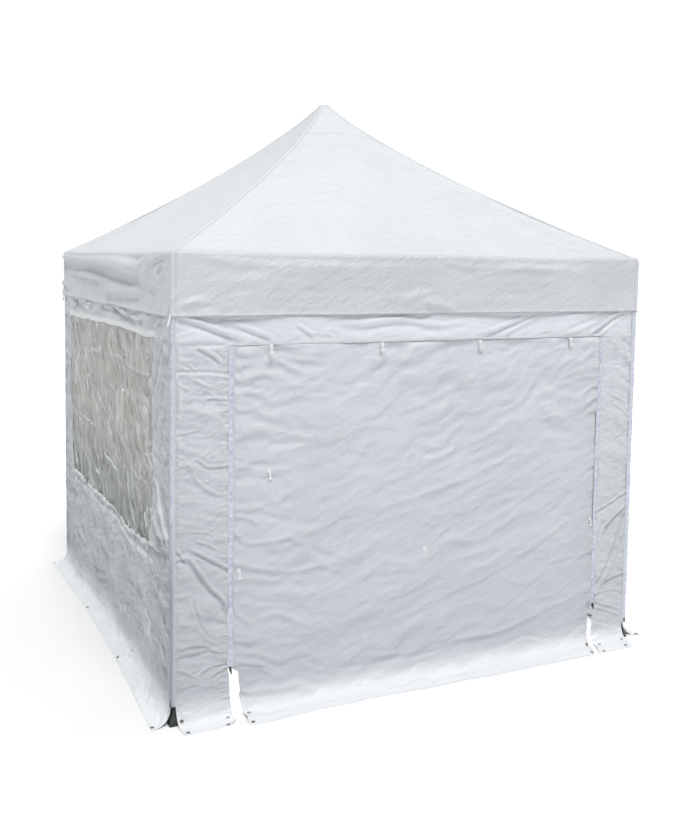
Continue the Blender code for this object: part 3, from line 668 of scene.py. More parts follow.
FILM_FOLDS = [
    (16, 0.55, [(-1.19, 1.732), (-0.781, 1.741), (-0.291, 1.76), (0.448, 1.777), (0.696, 1.744),
                (1.10, 1.746)], 1, 1),
    (12, -0.80, [(-0.55, 1.752), (-0.30, 1.770), (-0.10, 1.774)]),
    (10, -0.70, [(0.25, 1.785), (0.42, 1.795), (0.58, 1.78)]),
    (14, 0.60, [(-1.21, 1.245), (-0.80, 1.252), (-0.359, 1.253), (0.1, 1.215), (0.6, 1.20)], 1),
    (10, -0.80, [(-0.62, 1.262), (-0.44, 1.270), (-0.30, 1.258)]),
    (13, -1.10, [(-0.082, 1.109), (0.10, 1.098), (0.286, 1.080)]),
    (11, -0.90, [(0.622, 1.190), (0.799, 1.158), (1.016, 1.149)]),
    (9, 0.80, [(0.364, 1.037), (0.419, 0.981), (0.475, 0.914)]),
    (9, -0.70, [(0.330, 1.075), (0.395, 1.00), (0.44, 0.93)]),
    (10, -0.60, [(0.80, 1.70), (0.93, 1.56), (0.98, 1.44)]),
    (11, 0.60, [(0.86, 1.40), (1.00, 1.36), (1.14, 1.37)]),
]
SIDE_MARKS = [
    (11, -1.1, [(1.215, 1.200), (1.290, 1.121), (1.37, 1.036), (1.43, 0.965)]),
    (10, 0.9, [(1.285, 1.240), (1.355, 1.165), (1.425, 1.082), (1.465, 1.030)]),
    (11, 1.3, [(1.165, 1.170), (1.225, 1.095), (1.310, 1.005), (1.40, 0.925)]),
    (8, -1.0, [(1.196, 0.985), (1.30, 0.953), (1.38, 0.932)]),
    (8, 1.1, [(1.19, 0.960), (1.31, 0.928), (1.44, 0.893)]),
    (9, -1.0, [(1.077, 0.842), (1.107, 0.812), (1.251, 0.833), (1.30, 0.846)]),
    (9, 1.1, [(1.09, 0.812), (1.13, 0.786), (1.27, 0.806), (1.44, 0.866)]),
    (30, 0.8, [(1.22, 0.91), (1.36, 0.86)]),
    (12, 0.8, [(1.30, 0.62), (1.44, 0.47)]),
    (10, -0.35, [(1.27, 0.63), (1.40, 0.48)]),
    (16, 0.7, [(1.33, 0.33), (1.46, 0.22)]),
    (12, -0.8, [(0.55, 0.55), (0.72, 0.47)]),
    (10, -0.8, [(0.85, 0.40), (1.02, 0.31)]),
    (10, -0.7, [(0.10, 0.62), (0.25, 0.55)]),
    (10, 0.7, [(0.58, 0.52), (0.75, 0.44)]),
]
FILM_MARKS = [
    (8, 0.35, [(-1.193, 1.728), (-0.781, 1.737), (-0.291, 1.756), (0.30, 1.768)]),
    (8, 0.75, [(0.40, 1.772), (0.696, 1.742), (1.12, 1.741)]),
    (8, -0.30, [(-1.193, 1.746), (-0.781, 1.755), (-0.291, 1.774)]),
    (8, -0.55, [(0.44, 1.790), (0.696, 1.760), (1.12, 1.760)]),
    (8, -0.9, [(-0.50, 1.772), (-0.36, 1.782), (-0.22, 1.780)]),
    (7, -0.7, [(0.30, 1.792), (0.40, 1.796)]),
    (8, 0.40, [(-1.212, 1.240), (-0.596, 1.250), (-0.359, 1.246)]),
    (7, -0.60, [(-1.212, 1.257), (-0.85, 1.264), (-0.596, 1.268)]),
    (8, -0.9, [(-0.62, 1.270), (-0.50, 1.272), (-0.37, 1.262)]),
    (7, -1.5, [(-0.082, 1.109), (0.10, 1.097), (0.286, 1.080)]),
    (8, 0.6, [(-0.07, 1.092), (0.10, 1.080), (0.29, 1.062)]),
    (7, -0.9, [(0.622, 1.190), (0.799, 1.158), (1.016, 1.149)]),
    (8, 0.6, [(0.64, 1.172), (0.80, 1.140), (1.02, 1.132)]),
    (7, -0.8, [(0.364, 1.037), (0.419, 0.981), (0.475, 0.914)]),
    (14, 0.8, [(-1.17, 1.28), (-1.20, 1.10), (-1.16, 0.95)]),
    (10, 0.7, [(0.93, 1.42), (1.00, 1.36), (1.12, 1.37)]),
    (8, -0.7, [(0.95, 1.44), (1.02, 1.38), (1.13, 1.39)]),
    (9, 0.6, [(0.80, 1.60), (0.98, 1.52), (1.08, 1.43)]),
    (8, -0.6, [(0.93, 1.27), (1.02, 1.245), (1.12, 1.25)]),
    (12, 0.7, [(0.60, 1.02), (0.78, 0.93)]),
    (12, 0.6, [(0.05, 1.00), (0.25, 0.90)]),
    (8, -0.6, [(-0.90, 1.08), (-0.70, 0.99), (-0.52, 0.93)]),
    (8, -0.6, [(-0.30, 1.50), (-0.10, 1.42), (0.12, 1.38)]),
    (8, -0.5, [(0.30, 1.33), (0.52, 1.27), (0.66, 1.25)]),
]
# How far the window's upright edges are pulled along the wall, by height: the far one, and the one
# nearer the door
EDGE_Z = (0.70, 0.82, 1.01, 1.15, 1.24, 1.32, 1.48, 1.63, 1.72, 1.85, 1.957, 2.08)
FAR_EDGE = (0.0, -0.01, -0.045, -0.05, -0.02, -0.075, -0.115, -0.12, -0.025, -0.13, -0.09, 0.0)
NEAR_EDGE = (0.0, -0.10, -0.05, -0.02, -0.010, -0.012, -0.035, -0.035, -0.095, -0.015, 0.02, 0.0)


def window_warp(s, z, seed):
    """How the cloth pulls the window out of its square: shifts along the wall and upwards."""
    inside_z = smooth(0.25, WINDOW_LOW_Z, z) * smooth(2.10, WINDOW_TOP_Z, z)
    slow = np.exp(-np.linspace(-2, 2, 9) ** 2)
    slow /= slow.sum()

    def edge(table):
        pulled = np.interp(z[:, 0], EDGE_Z, table)
        return np.convolve(np.pad(pulled, 4, mode="edge"), slow, "valid")[:, None]

    rough = 0.010 * noise(s * 0.7, z / 0.09, seed) + 0.006 * noise(s * 0.7, z / 0.04, seed + 1)
    far = np.interp(s, (-WALL_END, -WINDOW_HALF, -0.5, WINDOW_HALF), (0, 1, 0.12, 0))
    near = np.interp(s, (-WINDOW_HALF, 0.5, WINDOW_HALF, WALL_END), (0, 0.12, 1, 0))
    along = (edge(FAR_EDGE) + rough) * far + (edge(NEAR_EDGE) + rough) * near
    v = np.clip((z - WINDOW_LOW_Z) / (WINDOW_TOP_Z - WINDOW_LOW_Z), 0, 1)
    low = np.interp(s, (-1.15, -0.36, 0.205, 0.435, 0.618, 0.85, 1.15), (0, 0, 0.018, 0, -0.022, 0.0, 0.026))
    low += 0.010 * noise(s / 0.10, z * 0.5, seed + 2) + 0.006 * noise(s / 0.045, z * 0.5, seed + 3)
    top = np.interp(s, (-1.15, -0.9, -0.09, 0.362, 0.805, 1.15), (-0.013, -0.014, 0.0, 0.006, -0.003, 0.0))
    top += 0.005 * noise(s / 0.22, z * 0.5, seed + 4)
    up = low * (1 - v) + top * v
    return along * inside_z, up * smooth(WALL_END, WINDOW_HALF, np.abs(s)) * inside_z


# The slack cloth below the window, as rows for layers()
LOW_LAYERS = (
    (0.0135, 5, -16, 0.42, 0.075, 0.40, 6, 0.34, -0.2, 0.3),
    (0.0130, 7, 9, 0.30, 0.048, 0.45, 8, 0.30, -0.2, 0.3),
    (0.0080, 13, -34, 0.20, 0.034, 0.45, 16, 0.26, -0.2, 0.3),
)
FILM_STREAKS = (  # height, angle, length, width and crest
    (0.0060, 112, 0.34, 0.110, 0.3),
    (0.0036, 140, 0.26, 0.050, 0.4),
    (0.0016, 158, 0.22, 0.028, 0.4),
)


def window_wall_folds(s, z, seed):
    """A window wall's shape: a gathered band over the window, slack strips and a slack lower part."""
    across = np.abs(s)
    inside = smooth(0.79, 0.84, z) * smooth(2.0, 1.95, z)
    inside *= smooth(WINDOW_HALF + 0.05, WINDOW_HALF - 0.02, across)
    band = smooth(1.95, 1.99, z)
    low = smooth(0.84, 0.76, z)
    strip = smooth(WINDOW_HALF - 0.03, WINDOW_HALF + 0.03, across) * (1 - band) * (1 - low)
    h = 2.2 * folds(s, z, LEFT_WALL_FOLDS) * (1 - inside)
    h += 0.0050 * noise(s / 0.55, z / 0.5, seed)
    h += band * (0.0080 * wrinkles(s, z, seed + 1, 40, 0.22, 0.080, 0.4)
                 + 0.0090 * noise(s / 0.16, z / 0.05, seed + 2))
    h += strip * (0.0105 * wrinkles(s, z, seed + 3, 38, 0.34, 0.100, 0.4)
                  + 0.0060 * noise(s / 0.16, z / 0.05, seed + 4))
    h += low * (0.0190 * noise(s / 0.42, z / 0.13, seed + 15) + layers(s, z, seed, LOW_LAYERS))
    h += bell(z, WINDOW_LOW_Z, 0.030) * (0.0100 * noise(s / 0.14, z / 0.05, seed + 9)
                                         + 0.0080 * noise(s / 0.06, z / 0.035, seed + 10))
    span = smooth(WINDOW_HALF + 0.04, WINDOW_HALF - 0.04, across)

    def level(height, width, slope):
        """A crease along the window, at one height."""
        return span * fold(s, z, [(-1.22, height), (1.22, height)], width, slope)

    h += level(1.977, 0.010, 0.60)
    h += level(0.803, 0.011, 0.70) * (0.7 + 0.5 * noise(s / 0.2, z * 0, seed + 11))
    h -= level(0.840, 0.010, 0.45) * (0.7 + 0.5 * noise(s / 0.15, z * 0, seed + 12))
    for hand in (-1, 1):
        h += puckers(WALL_END - hand * s, z, seed + 14 + hand, 0.055, 0.034, 0.0042)
    return tame(h + 0.004 * band, s) * smooth(2.12, 2.08, z)


def window_seams_and_shading(s, z, seed):
    """Painted light and shade of the crumpled sill, a dark seam line and a painted highlight over the window,
    and painted light and shade on the creases above it.
    """
    uneven = np.clip(0.9 + 1.3 * noise(s / 0.07, z * 0, seed + 33), 0.1, 2.0)
    wander = 0.010 * noise(s / 0.08, z * 0, seed + 34) + 0.007 * noise(s / 0.035, z * 0, seed + 35)
    sill = (2.0 * bell(z, 0.779 + wander, 0.011) - 1.2 * bell(z, 0.808 + wander * 0.3, 0.012)
            - 1.0 * bell(z, 0.748 + wander, 0.015))
    seam = 0.25 * bell(z, 2.028, 0.010) - 1.2 * bell(z, 1.992, 0.015)
    crumple = noise(s / 0.14, z / 0.026, seed + 36) + 0.6 * noise(s / 0.07, z / 0.014, seed + 37)
    some = 0.15 + 0.85 * smooth(0.0, 0.4, noise(s / 0.35, z * 0, seed + 38))
    creases = (0.9 * smooth(2.025, 2.055, z) * smooth(0.0, 0.55, crumple)
               - 0.5 * smooth(2.005, 2.03, z) * smooth(-0.25, -0.70, crumple))
    return smooth(WINDOW_HALF + 0.05, WINDOW_HALF, np.abs(s)) * (uneven * sill + seam) + creases * some


def window_wall(side, step, seed, cloth, film):
    down = wall_rows(SIDE_REACH, step, (WINDOW_TOP_Z, WINDOW_LOW_Z))
    s, z = wall_grid(evenly((-WALL_END, -WINDOW_HALF, WINDOW_HALF, WALL_END), step), down)
    look = s if side == "left" else -s  # the right wall is the left one seen from its other end
    along, up = window_warp(s, z, seed + 60)
    if side == "right":
        along, up = -along[:, ::-1], up[:, ::-1]
    h = window_wall_folds(look, z, seed) + flap_waves(s, down, seed + 30)
    flare = 0.030 * smooth(WALL_TOP_Z - 0.10, WALL_TOP_Z + 0.12, down)[:, None]
    shift = along + flare * np.sign(s) * smooth(1.2, WALL_END, np.abs(s))
    middle_s, middle_z = cells_between(s), cells_between(z)
    missing = (np.abs(middle_s) < WINDOW_HALF) & (middle_z < WINDOW_TOP_Z) & (middle_z > WINDOW_LOW_Z)
    sag = 0.045 * np.clip(1 - (s / WALL_END) ** 2, 0, 1) * smooth(1.0, 0.10, z)
    # painted light and shade of the sill, the seam and the creases, and the painted highlights and shade of
    # SIDE_MARKS
    seams_and_painted_shading = window_seams_and_shading(s, z, seed) + marks(look, z, SIDE_MARKS)
    wall = wall_object(f"{side}_wall_cloth", side, s, down, h, step, cloth, missing, shift, up, seams_and_painted_shading=seams_and_painted_shading,
                       bow=0.015, sag=sag)
    # the film keeps the wall's edge all round and has streaks of its own within
    inner = np.ix_((z[:, 0] <= WINDOW_TOP_Z + 1e-6) & (z[:, 0] >= WINDOW_LOW_Z - 1e-6),
                   np.abs(s[0]) <= WINDOW_HALF + 1e-6)
    s, z, look, h, down = s[inner], z[inner], look[inner], h[inner], down[inner[0].ravel()]
    rim = smooth(0, 0.05, WINDOW_TOP_Z - z) * smooth(0, 0.05, z - WINDOW_LOW_Z)
    rim *= smooth(0, 0.06, WINDOW_HALF - np.abs(s))
    streaks = 0.5 * folds(look, z, FILM_FOLDS)
    for k, (height, angle, length, width, crest) in enumerate(FILM_STREAKS):
        streaks += height * wrinkles(look, z, seed + 20 + k, angle, length, width, crest)
    h = np.maximum(h + rim * streaks, -0.014)
    pane = wall_object(f"{side}_window_film", side, s, down, h - 0.0012, step, film, None, shift[inner],
                       up[inner], FILM, marks(look, z, FILM_MARKS), sag=sag[inner])
    return wall, pane


BACK_LAYERS = (
    (0.0130, 102, -20, 0.46, 0.130, 0.30, 103, 0.40, -0.3, 0.3),
    (0.0062, 104, -12, 0.30, 0.075, 0.40, 105, 0.30, -0.2, 0.4),
)


def plain_wall(material):
    """The back wall, with creases that run down from its upper corners."""
    down = wall_rows(FRONT_REACH, PLAIN_STEP)
    s, z = wall_grid(evenly((-WALL_END, WALL_END), PLAIN_STEP), down)
    h = 0.0090 * noise(s / 0.60, z / 0.40, 101) + layers(s, z, 0, BACK_LAYERS)
    for hand in (-1, 1):
        h += puckers(WALL_END - hand * s, z, 106 + hand, 0.060, 0.045, 0.0034)
        for angle in (24, 40, 58):
            run = math.radians(angle)
            corner, length = (1.46, 2.08), 0.55
            low = (corner[0] - length * math.cos(run), corner[1] - length * math.sin(run))
            points = [(hand * x, y) for x, y in (corner, low)]
            h += fold(s, z, points[::-hand], 0.024, 0.55, *(0.6, 0)[::-hand])
    h = (h + flap_waves(s, down, 110)) * smooth(2.12, 2.08, z)
    shift = (-np.sign(s) * 0.014 * smooth(WALL_TOP_Z - 0.10, WALL_TOP_Z + 0.12, down)[:, None]
             * smooth(1.2, WALL_END, np.abs(s)))
    return wall_object("back_wall_cloth", "back", s, down, h, PLAIN_STEP, material, None, shift)


# ---------------------------------------------------------------- canopy


def roof_z(t):
    return EAVE_Z + (1 - t) * (1.088 - 0.280 * np.sqrt(t))


def eave_pull(s):
    """How far the eave is drawn in between the corner and the truss's middle, from 0 to 1."""
    a = np.abs(s) / HALF
    return np.sin(math.pi * a) ** 2 * 0.9 + 0.45 * np.exp(-((a / 0.22) ** 2))


# Creases on the canopy near one corner, in plan, for the slope at the front
ROOF_FOLDS = [
    (26, 0.16, [(-1.43, -1.47), (-1.21, -1.30), (-0.88, -1.09), (-0.5, -0.76)], 0.5),
    (20, 0.12, [(-1.42, -1.485), (-1.10, -1.38), (-0.75, -1.28)], 0.5),
    (22, -0.10, [(-1.40, -1.49), (-1.05, -1.44), (-0.70, -1.40)], 0.5),
    (24, 0.15, [(0.29, -0.42), (0.51, -0.74), (0.72, -1.06), (1.01, -1.32), (1.35, -1.47)], 0, 0.5),
    (22, 0.13, [(0.36, -0.73), (0.62, -1.03), (0.80, -1.21), (1.25, -1.45)], 0, 0.5),
    (18, 0.12, [(0.70, -1.18), (1.05, -1.33), (1.36, -1.48)], 0, 0.5),
    (20, 0.10, [(0.35, -1.42), (0.74, -1.46), (1.25, -1.48)], 0, 0.5),
]
EAVE_SLOPE = math.atan(0.808 / HALF)
EAVE_ROUND = 0.018  # radius of the fold from the canopy into the valance
EAVE_IN = 0.022  # how far the eave is drawn in where it hangs free
TRUSS_BEHIND = 0.0265  # the truss is this far behind the valance


def canopy_points(x, y):
    """Where the canopy's middle is over each place of the plan."""
    reach = np.maximum(np.abs(x), np.abs(y))
    z = roof_z(np.maximum(reach / HALF, 0.022 / HALF)) - CLOTH / 2
    crease = np.zeros_like(x)
    for turns, (c, d) in enumerate(QUARTERS):
        px, py = x * c + y * d, -x * d + y * c  # the point seen in this slope's own frame
        here = smooth(0.02, 0.07, -py - np.abs(px))
        rows = mirrored(ROOF_FOLDS) if turns in (1, 3) else ROOF_FOLDS
        shape = (1.3, 1.0, 1.1, 1.3)[turns] * folds(px, py, rows)
        shape += 0.0030 * wrinkles(px, py, 70 + turns, 6, 0.45, 0.055, 0.4) * smooth(-1.15, -1.42, py)
        shape += 0.0030 * wrinkles(px, py, 74 + turns, 60, 0.60, 0.16, 0.3)
        crease += here * shape
    hip = np.abs(np.abs(x) - np.abs(y)) / math.sqrt(2)
    belly = 0.004 * noise(x / 0.8, y / 0.8, 69) * smooth(0.1, 0.4, reach)
    gutter = 0.006 * bell(hip, 0.085, 0.045) * smooth(0.1, 0.5, reach)
    side = np.abs(x) > np.abs(y)
    pull = eave_pull(np.where(side, y, x))
    z = z + (crease + belly - gutter) * smooth(0.012, 0.07, HALF - reach)
    z = z - 0.012 * pull * np.exp(-(HALF - reach) / 0.10)
    inwards = EAVE_IN * pull * np.exp(-(HALF - reach) / 0.05)
    px = np.where(side, x - np.sign(x) * inwards, x)
    py = np.where(side, y, y - np.sign(y) * inwards)
    return np.stack([px, py, z], axis=-1)


def canopy(material):
    count = round(HALF / CANOPY_STEP) * 2
    line = np.linspace(-HALF, HALF, count + 1)
    line[0], line[-1] = -HALF + 0.010, HALF - 0.010  # the valance's fold covers the rest
    x, y = np.meshgrid(line, line[::-1])
    points = canopy_points(x, y)
    # hollow gives painted shade in the canopy's creases and painted highlights on their crests, a third as
    # strong
    hollow = hollows(points[..., 2], CANOPY_STEP) * 0.3
    return cloth_object("canopy_cloth", points, x, y, material, None, FABRIC, hollow)


def canopy_seams(material):
    """Flat strips sewn along the hips, and the edge of the patch round the peak."""
    across = np.array([-0.0145, -0.0140, -0.0080, -0.0060, 0.0, 0.0060, 0.0080, 0.0140, 0.0145])
    raised = np.array([-0.0004, 0.0012, 0.0014, 0.0008, 0.0022, 0.0008, 0.0014, 0.0012, -0.0004])
    width = np.array([-0.0045, -0.0030, 0.0, 0.0030, 0.0045])
    lift = np.array([-0.0004, 0.0010, 0.0012, 0.0010, -0.0004])
    t, share = np.linspace(0.030, 0.990, 150), np.linspace(-0.985, 0.985, 90)
    whole = bmesh.new()

    def sew(x, y, rise, u, v, turns):
        """Adds a ribbon on the canopy, where u and v are its places across and along."""
        ribbon = canopy_points(x, y)
        ribbon[..., 2] += rise
        u, v = (grid + np.zeros(x.shape) for grid in (u, v))
        part = cloth_object("seam", turned(ribbon, turns), u, v, material, None, 0.0006)
        mesh = part.data
        whole.from_mesh(mesh)
        bpy.data.objects.remove(part)
        bpy.data.meshes.remove(mesh)

    for turns in range(4):
        aside, along = across[None, :] / math.sqrt(2), -HALF * t[:, None]
        wave = 0.0008 * noise(t / 0.03, t * 0, 170 + turns)[:, None]
        sew(along + aside, along - aside, raised[None, :] + 0.0008 + wave, across[None, :], t[:, None], turns)
        depth = HALF * (0.160 + 0.022 * share**2)[:, None] + width[None, :]
        sew(share[:, None] * depth, -depth, lift[None, :] + 0.0006, 3.2 * width[None, :], share[:, None],
            turns)
    return joined("canopy_seam_tape", [whole], material, 60)


VALANCE_FRONT_FOLDS = [
    (14, -0.45, [(-1.479, 2.150), (-1.403, 2.191), (-1.299, 2.211)], 0.8),
    (14, 0.35, [(-1.464, 2.145), (-1.325, 2.165), (-1.219, 2.162)], 0.8),
    (8, 0.38, [(-1.145, 2.241), (-1.085, 2.262)]),
    (10, -0.42, [(-0.964, 2.200), (-0.919, 2.226), (-0.875, 2.247)]),
    (9, 0.34, [(-0.95, 2.180), (-0.89, 2.205)]),
    (10, 0.34, [(-0.92, 2.299), (-0.819, 2.325)]),
    (14, 0.28, [(-0.806, 2.236), (-0.691, 2.257)]),
    (15, 0.28, [(-0.484, 2.236), (-0.331, 2.247)]),
    (22, 0.60, [(-0.10, 2.175), (-0.02, 2.141), (0.09, 2.117), (0.20, 2.092)]),
    (22, -0.34, [(-0.235, 2.171), (-0.111, 2.225), (0.02, 2.235)]),
    (9, 0.42, [(0.745, 2.236), (0.802, 2.272)]),
    (9, 0.38, [(0.783, 2.194), (0.893, 2.224)]),
    (12, 0.30, [(0.459, 2.207), (0.672, 2.236)]),
    (20, 0.30, [(0.02, 2.390), (0.18, 2.365), (0.316, 2.351)]),
    (26, 0.30, [(-1.449, 2.385), (-1.351, 2.396), (-1.20, 2.362), (-0.9, 2.352)]),
    (18, 0.26, [(0.35, 2.33), (0.62, 2.345), (0.95, 2.335)]),
]
VALANCE_LEFT_FOLDS = [
    (34, 0.62, [(-1.48, 2.372), (-0.90, 2.368), (-0.497, 2.357), (0.036, 2.335), (0.646, 2.298),
                (1.20, 2.264)], 0.7),
    (18, 0.30, [(-1.35, 2.275), (-0.95, 2.268), (-0.40, 2.262), (0.20, 2.240)], 0.5),
    (22, 0.60, [(-0.15, 2.168), (0.25, 2.188), (0.60, 2.190), (1.094, 2.172)]),
    (22, -0.38, [(-1.414, 2.293), (-0.499, 2.296), (0.394, 2.247), (1.095, 2.224)]),
    (14, 0.55, [(-1.49, 2.165), (-1.40, 2.188), (-1.20, 2.150)], 1),
    (13, 0.45, [(1.095, 2.361), (1.296, 2.393), (1.40, 2.398)]),
    (11, 0.40, [(1.26, 2.31), (1.34, 2.37)]),
]


# By side (front, right, back, left): how strong the folds are, how loose the band and how far it flares
BAND_FOLDS = (1.5, 1.3, 1.3, 3.2)
BAND_LOOSE = (1.0, 1.3, 1.0, 2.4)
BAND_FLARE = (0.0065, 0.0065, 0.0065, 0.0120)
BAND_LAYERS = (
    (0.0036, 84, 10, 0.22, 0.060, 0.4, 88, 0.30, -0.3, 0.4),
    (0.0026, 184, 24, 0.12, 0.030, 0.4, 188, 0.22, -0.2, 0.4),
)
BAND_STRIP = 0.020  # width of the strip sewn on at each corner of the valance
EAVE_TURN = math.pi / 2 - EAVE_SLOPE
BAND_TOP_Z = EAVE_Z - EAVE_ROUND * math.tan(EAVE_TURN / 2)  # below it the band hangs straight


def valance_section():
    """The band's section, from the canopy's slope round the fold and down: out, up, and its normal."""
    c, d = math.cos(EAVE_SLOPE), math.sin(EAVE_SLOPE)
    section = []
    for run, lift in ((0.016, 0.0), (0.0155, 0.0012), (0.010, 0.0012), (0.004, 0.0012)):
        run += EAVE_Z - BAND_TOP_Z
        section.append((HALF - run * c + d * lift, EAVE_Z + run * d + c * lift, d, c))
    for k in range(7):
        a = EAVE_TURN * (1 - k / 6)
        section.append((HALF - EAVE_ROUND + EAVE_ROUND * math.cos(a), BAND_TOP_Z + EAVE_ROUND * math.sin(a),
                        math.cos(a), math.sin(a)))
    for z in evenly((BAND_TOP_Z, VALANCE_BOTTOM_Z), 0.0112)[1:]:
        section.append((HALF, z, 1.0, 0.0))
    return np.array(section).T[:, :, None]


def valance(material):
    out, height, normal_out, normal_z = valance_section()
    inner = HALF - BAND_STRIP
    side = evenly((-HALF + 0.0015, -inner - 0.001, -inner + 0.001, inner - 0.001, inner + 0.001,
                   HALF - 0.0015), 0.016)
    ring, along, seams_and_painted_shading = [], [], []
    for turns in range(4):
        s, z = np.meshgrid(side[:-1], height[:, 0])
        pull = eave_pull(s)
        source = VALANCE_FRONT_FOLDS if turns in (0, 2) else VALANCE_LEFT_FOLDS
        rows = source if turns in (0, 3) else mirrored([row[:3] for row in source], 0.8)
        from_corner = HALF - np.abs(s)
        near_corner = smooth(0, 0.06, from_corner)
        edge = smooth(0.0008, -0.0008, from_corner - BAND_STRIP)
        slow = noise(s / 0.35, z * 0, 92 + turns)
        h = BAND_FOLDS[turns] * folds(s, z, rows)
        h += BAND_LOOSE[turns] * (0.0050 * noise(s / 0.45, z / 0.16, 80 + turns)
                                  + layers(s, z, turns, BAND_LAYERS))
        h += BAND_FLARE[turns] * smooth(2.26, 2.10, z) * (1.2 + slow)
        h += 0.0014 * smooth(0.024, 0.020, z - VALANCE_BOTTOM_Z)
        h *= smooth(2.412, 2.395, z) * near_corner
        h = np.clip(h, np.interp(z, (2.205, 2.23), (-0.0015, -0.018)), 0.026) + 0.0018 * edge
        # a darker line where each corner strip is sewn on and the strip a little lighter; along the hem a
        # painted shadow line under it with a painted highlight just above
        seam = smooth(0.0145, 0.0125, from_corner - BAND_STRIP) * (1 - edge)
        line = (1.8 * smooth(0.007, 0.001, z - VALANCE_BOTTOM_Z)
                - 0.6 * bell(z, VALANCE_BOTTOM_Z + 0.013, 0.007))
        seams_and_painted_shading.append(0.35 * seam - 0.20 * edge + line)
        near_eave = np.where(height > BAND_TOP_Z, np.exp(-(HALF - out) / 0.05), smooth(2.345, 2.414, z))
        place = out - CLOTH * 0.35 + h * normal_out - EAVE_IN * pull * near_eave
        place = np.where(z > 2.23, np.maximum(place, out - TRUSS_BEHIND), place)
        wavy = 0.002 * smooth(2.2, 2.1, z) * noise(s / 0.35, z * 0, 96 + turns) * near_corner
        rise = h * normal_z - 0.012 * pull * smooth(2.345, 2.43, z) + np.where(z < 2.2, wavy, 0)
        ring.append(turned(np.stack([s * out / HALF, -place, z + rise], axis=-1), turns))
        along.append(s + 2 * HALF * turns)
    points, u, seams_and_painted_shading = (np.concatenate(parts, axis=1) for parts in (ring, along, seams_and_painted_shading))
    v = np.repeat(height, points.shape[1], axis=1)
    return cloth_object("valance_cloth", points, u, v, material, None, FABRIC, None, seams_and_painted_shading, closed=True)


# ---------------------------------------------------------------- zips and small parts


def joined(name, shapes, material, smooth_angle=40):
    """One object from several bmeshes."""
    mesh = bpy.data.meshes.new(name)
    whole = bmesh.new()
    for shape in shapes:
        piece = bpy.data.meshes.new("piece")
        shape.to_mesh(piece)
        shape.free()
        whole.from_mesh(piece)
        bpy.data.meshes.remove(piece)
    whole.to_mesh(mesh)
    whole.free()
    mesh.shade_smooth()
    mesh.set_sharp_from_angle(angle=math.radians(smooth_angle))
    mesh.materials.append(material)
    return linked(name, mesh)


def skin(shape, rings, pairs, caps):
    """Faces between pairs of rings of points, and over the first and the last ring."""
    for low, high in pairs:
        for k in range(len(low)):
            j = (k + 1) % len(low)
            shape.faces.new((low[k], low[j], high[j], high[k]))
    if caps:
        shape.faces.new(rings[0][::-1])
        shape.faces.new(rings[-1])
    return shape


def lathe(outline, steps=20, closed=True):
    """A round shape from (radius, height) points about Z; closed joins the last point to the first."""
    shape = bmesh.new()
    angles = [2 * math.pi * k / steps for k in range(steps)]
    rings = [[shape.verts.new((radius * math.cos(a), radius * math.sin(a), height)) for a in angles]
             for radius, height in outline]
    pairs = list(zip(rings, rings[1:]))
    return skin(shape, rings, pairs + [(rings[-1], rings[0])] if closed else pairs, not closed)


def rod(points, section, side=None):
    """A bent rod, from its section's points (across, up) in the plane that crosses it."""
    shape = bmesh.new()
    line = [Vector(p) for p in points]
    rings = []
    for k, p in enumerate(line):
        ahead = line[min(k + 1, len(line) - 1)] - line[max(k - 1, 0)]
        ahead.normalize()
        side = ahead.orthogonal() if side is None else Vector(side)
        side = (side - ahead * side.dot(ahead)).normalized()
        up = ahead.cross(side)
        rings.append([shape.verts.new(p + side * x + up * y) for x, y in section])
    skin(shape, rings, zip(rings, rings[1:]), True)
    bmesh.ops.recalc_face_normals(shape, faces=shape.faces)
    return shape


def tube(points, radius, sides):
    turns = [2 * math.pi * (n + 0.5) / sides for n in range(sides)]
    return rod(points, [(radius * math.cos(a), radius * math.sin(a)) for a in turns])


def strap(points, width, thickness, side=(1, 0, 0), sides=10):
    """A bent flat strap with rounded edges, where side is the way that its width runs."""
    section = []
    for n in range(sides):
        a = 2 * math.pi * (n + 0.5) / sides
        x, y = (math.copysign(abs(c) ** 0.35, c) for c in (math.cos(a), math.sin(a)))
        section.append((x * width / 2, y * thickness / 2))
    return rod(points, section, side)


def placed(shape, where, normal, lift):
    """A shape made about Z, moved to a point with its Z along the normal, and lifted along it."""
    turn = Vector((0, 0, 1)).rotation_difference(normal).to_matrix().to_4x4()
    bmesh.ops.transform(shape, matrix=Matrix.Translation(where + normal * lift) @ turn, verts=shape.verts)
    return shape


def zip_sheet(name, x, y, z, across, turns, tape):
    """A zip's tape from its rows and columns, where across is each column's place across the tape."""
    points = np.stack(np.broadcast_arrays(x, y, z[:, None]), axis=-1)
    u, v = np.meshgrid(across, z)
    return cloth_object(name, turned(points, turns), u, v, tape, None, TAPE)


def teeth(z):
    """1 and -1 by turns, from row to row."""
    return np.cos(np.arange(len(z)) * math.pi)[:, None]


def zip_wave(z, seed, tall, short):
    """How the tape waves with the cloth's puckers."""
    return (tall * noise(z / 0.075, z * 0 + 0.5, seed) + 0.0012 * noise(z / short, z * 0, seed + 1))[:, None]


def door_zip(name, s_middle, seed, tape):
    """Zip tape with its coil, on the front wall."""
    z = np.linspace(ZIP_TOP_Z, ZIP_LOW_Z, round((ZIP_TOP_Z - ZIP_LOW_Z) / 0.006) + 1)
    half = np.array([0.0018, 0.0036, 0.0042, 0.0090, 0.0160, 0.0165])
    rise = np.array([0.0018, 0.0010, 0.0004, 0.0006, 0.0002, -0.0022])
    across = np.concatenate([-half[::-1], [0.0], half])
    bump = np.concatenate([rise[::-1], [0.0020], rise])
    coil = np.where(np.abs(across) < 0.004, 0.12, 0.0)
    sway = (0.0022 * noise(z / 0.25, z * 0, seed + 2) + 0.0010 * noise(z / 0.06, z * 0, seed + 3))[:, None]
    y = -(ZIP_OUT + zip_wave(z, seed, 0.0024, 0.03) + bump * (1 + coil * teeth(z)))
    return zip_sheet(name, s_middle + across + sway, y, z, across, 0, tape)


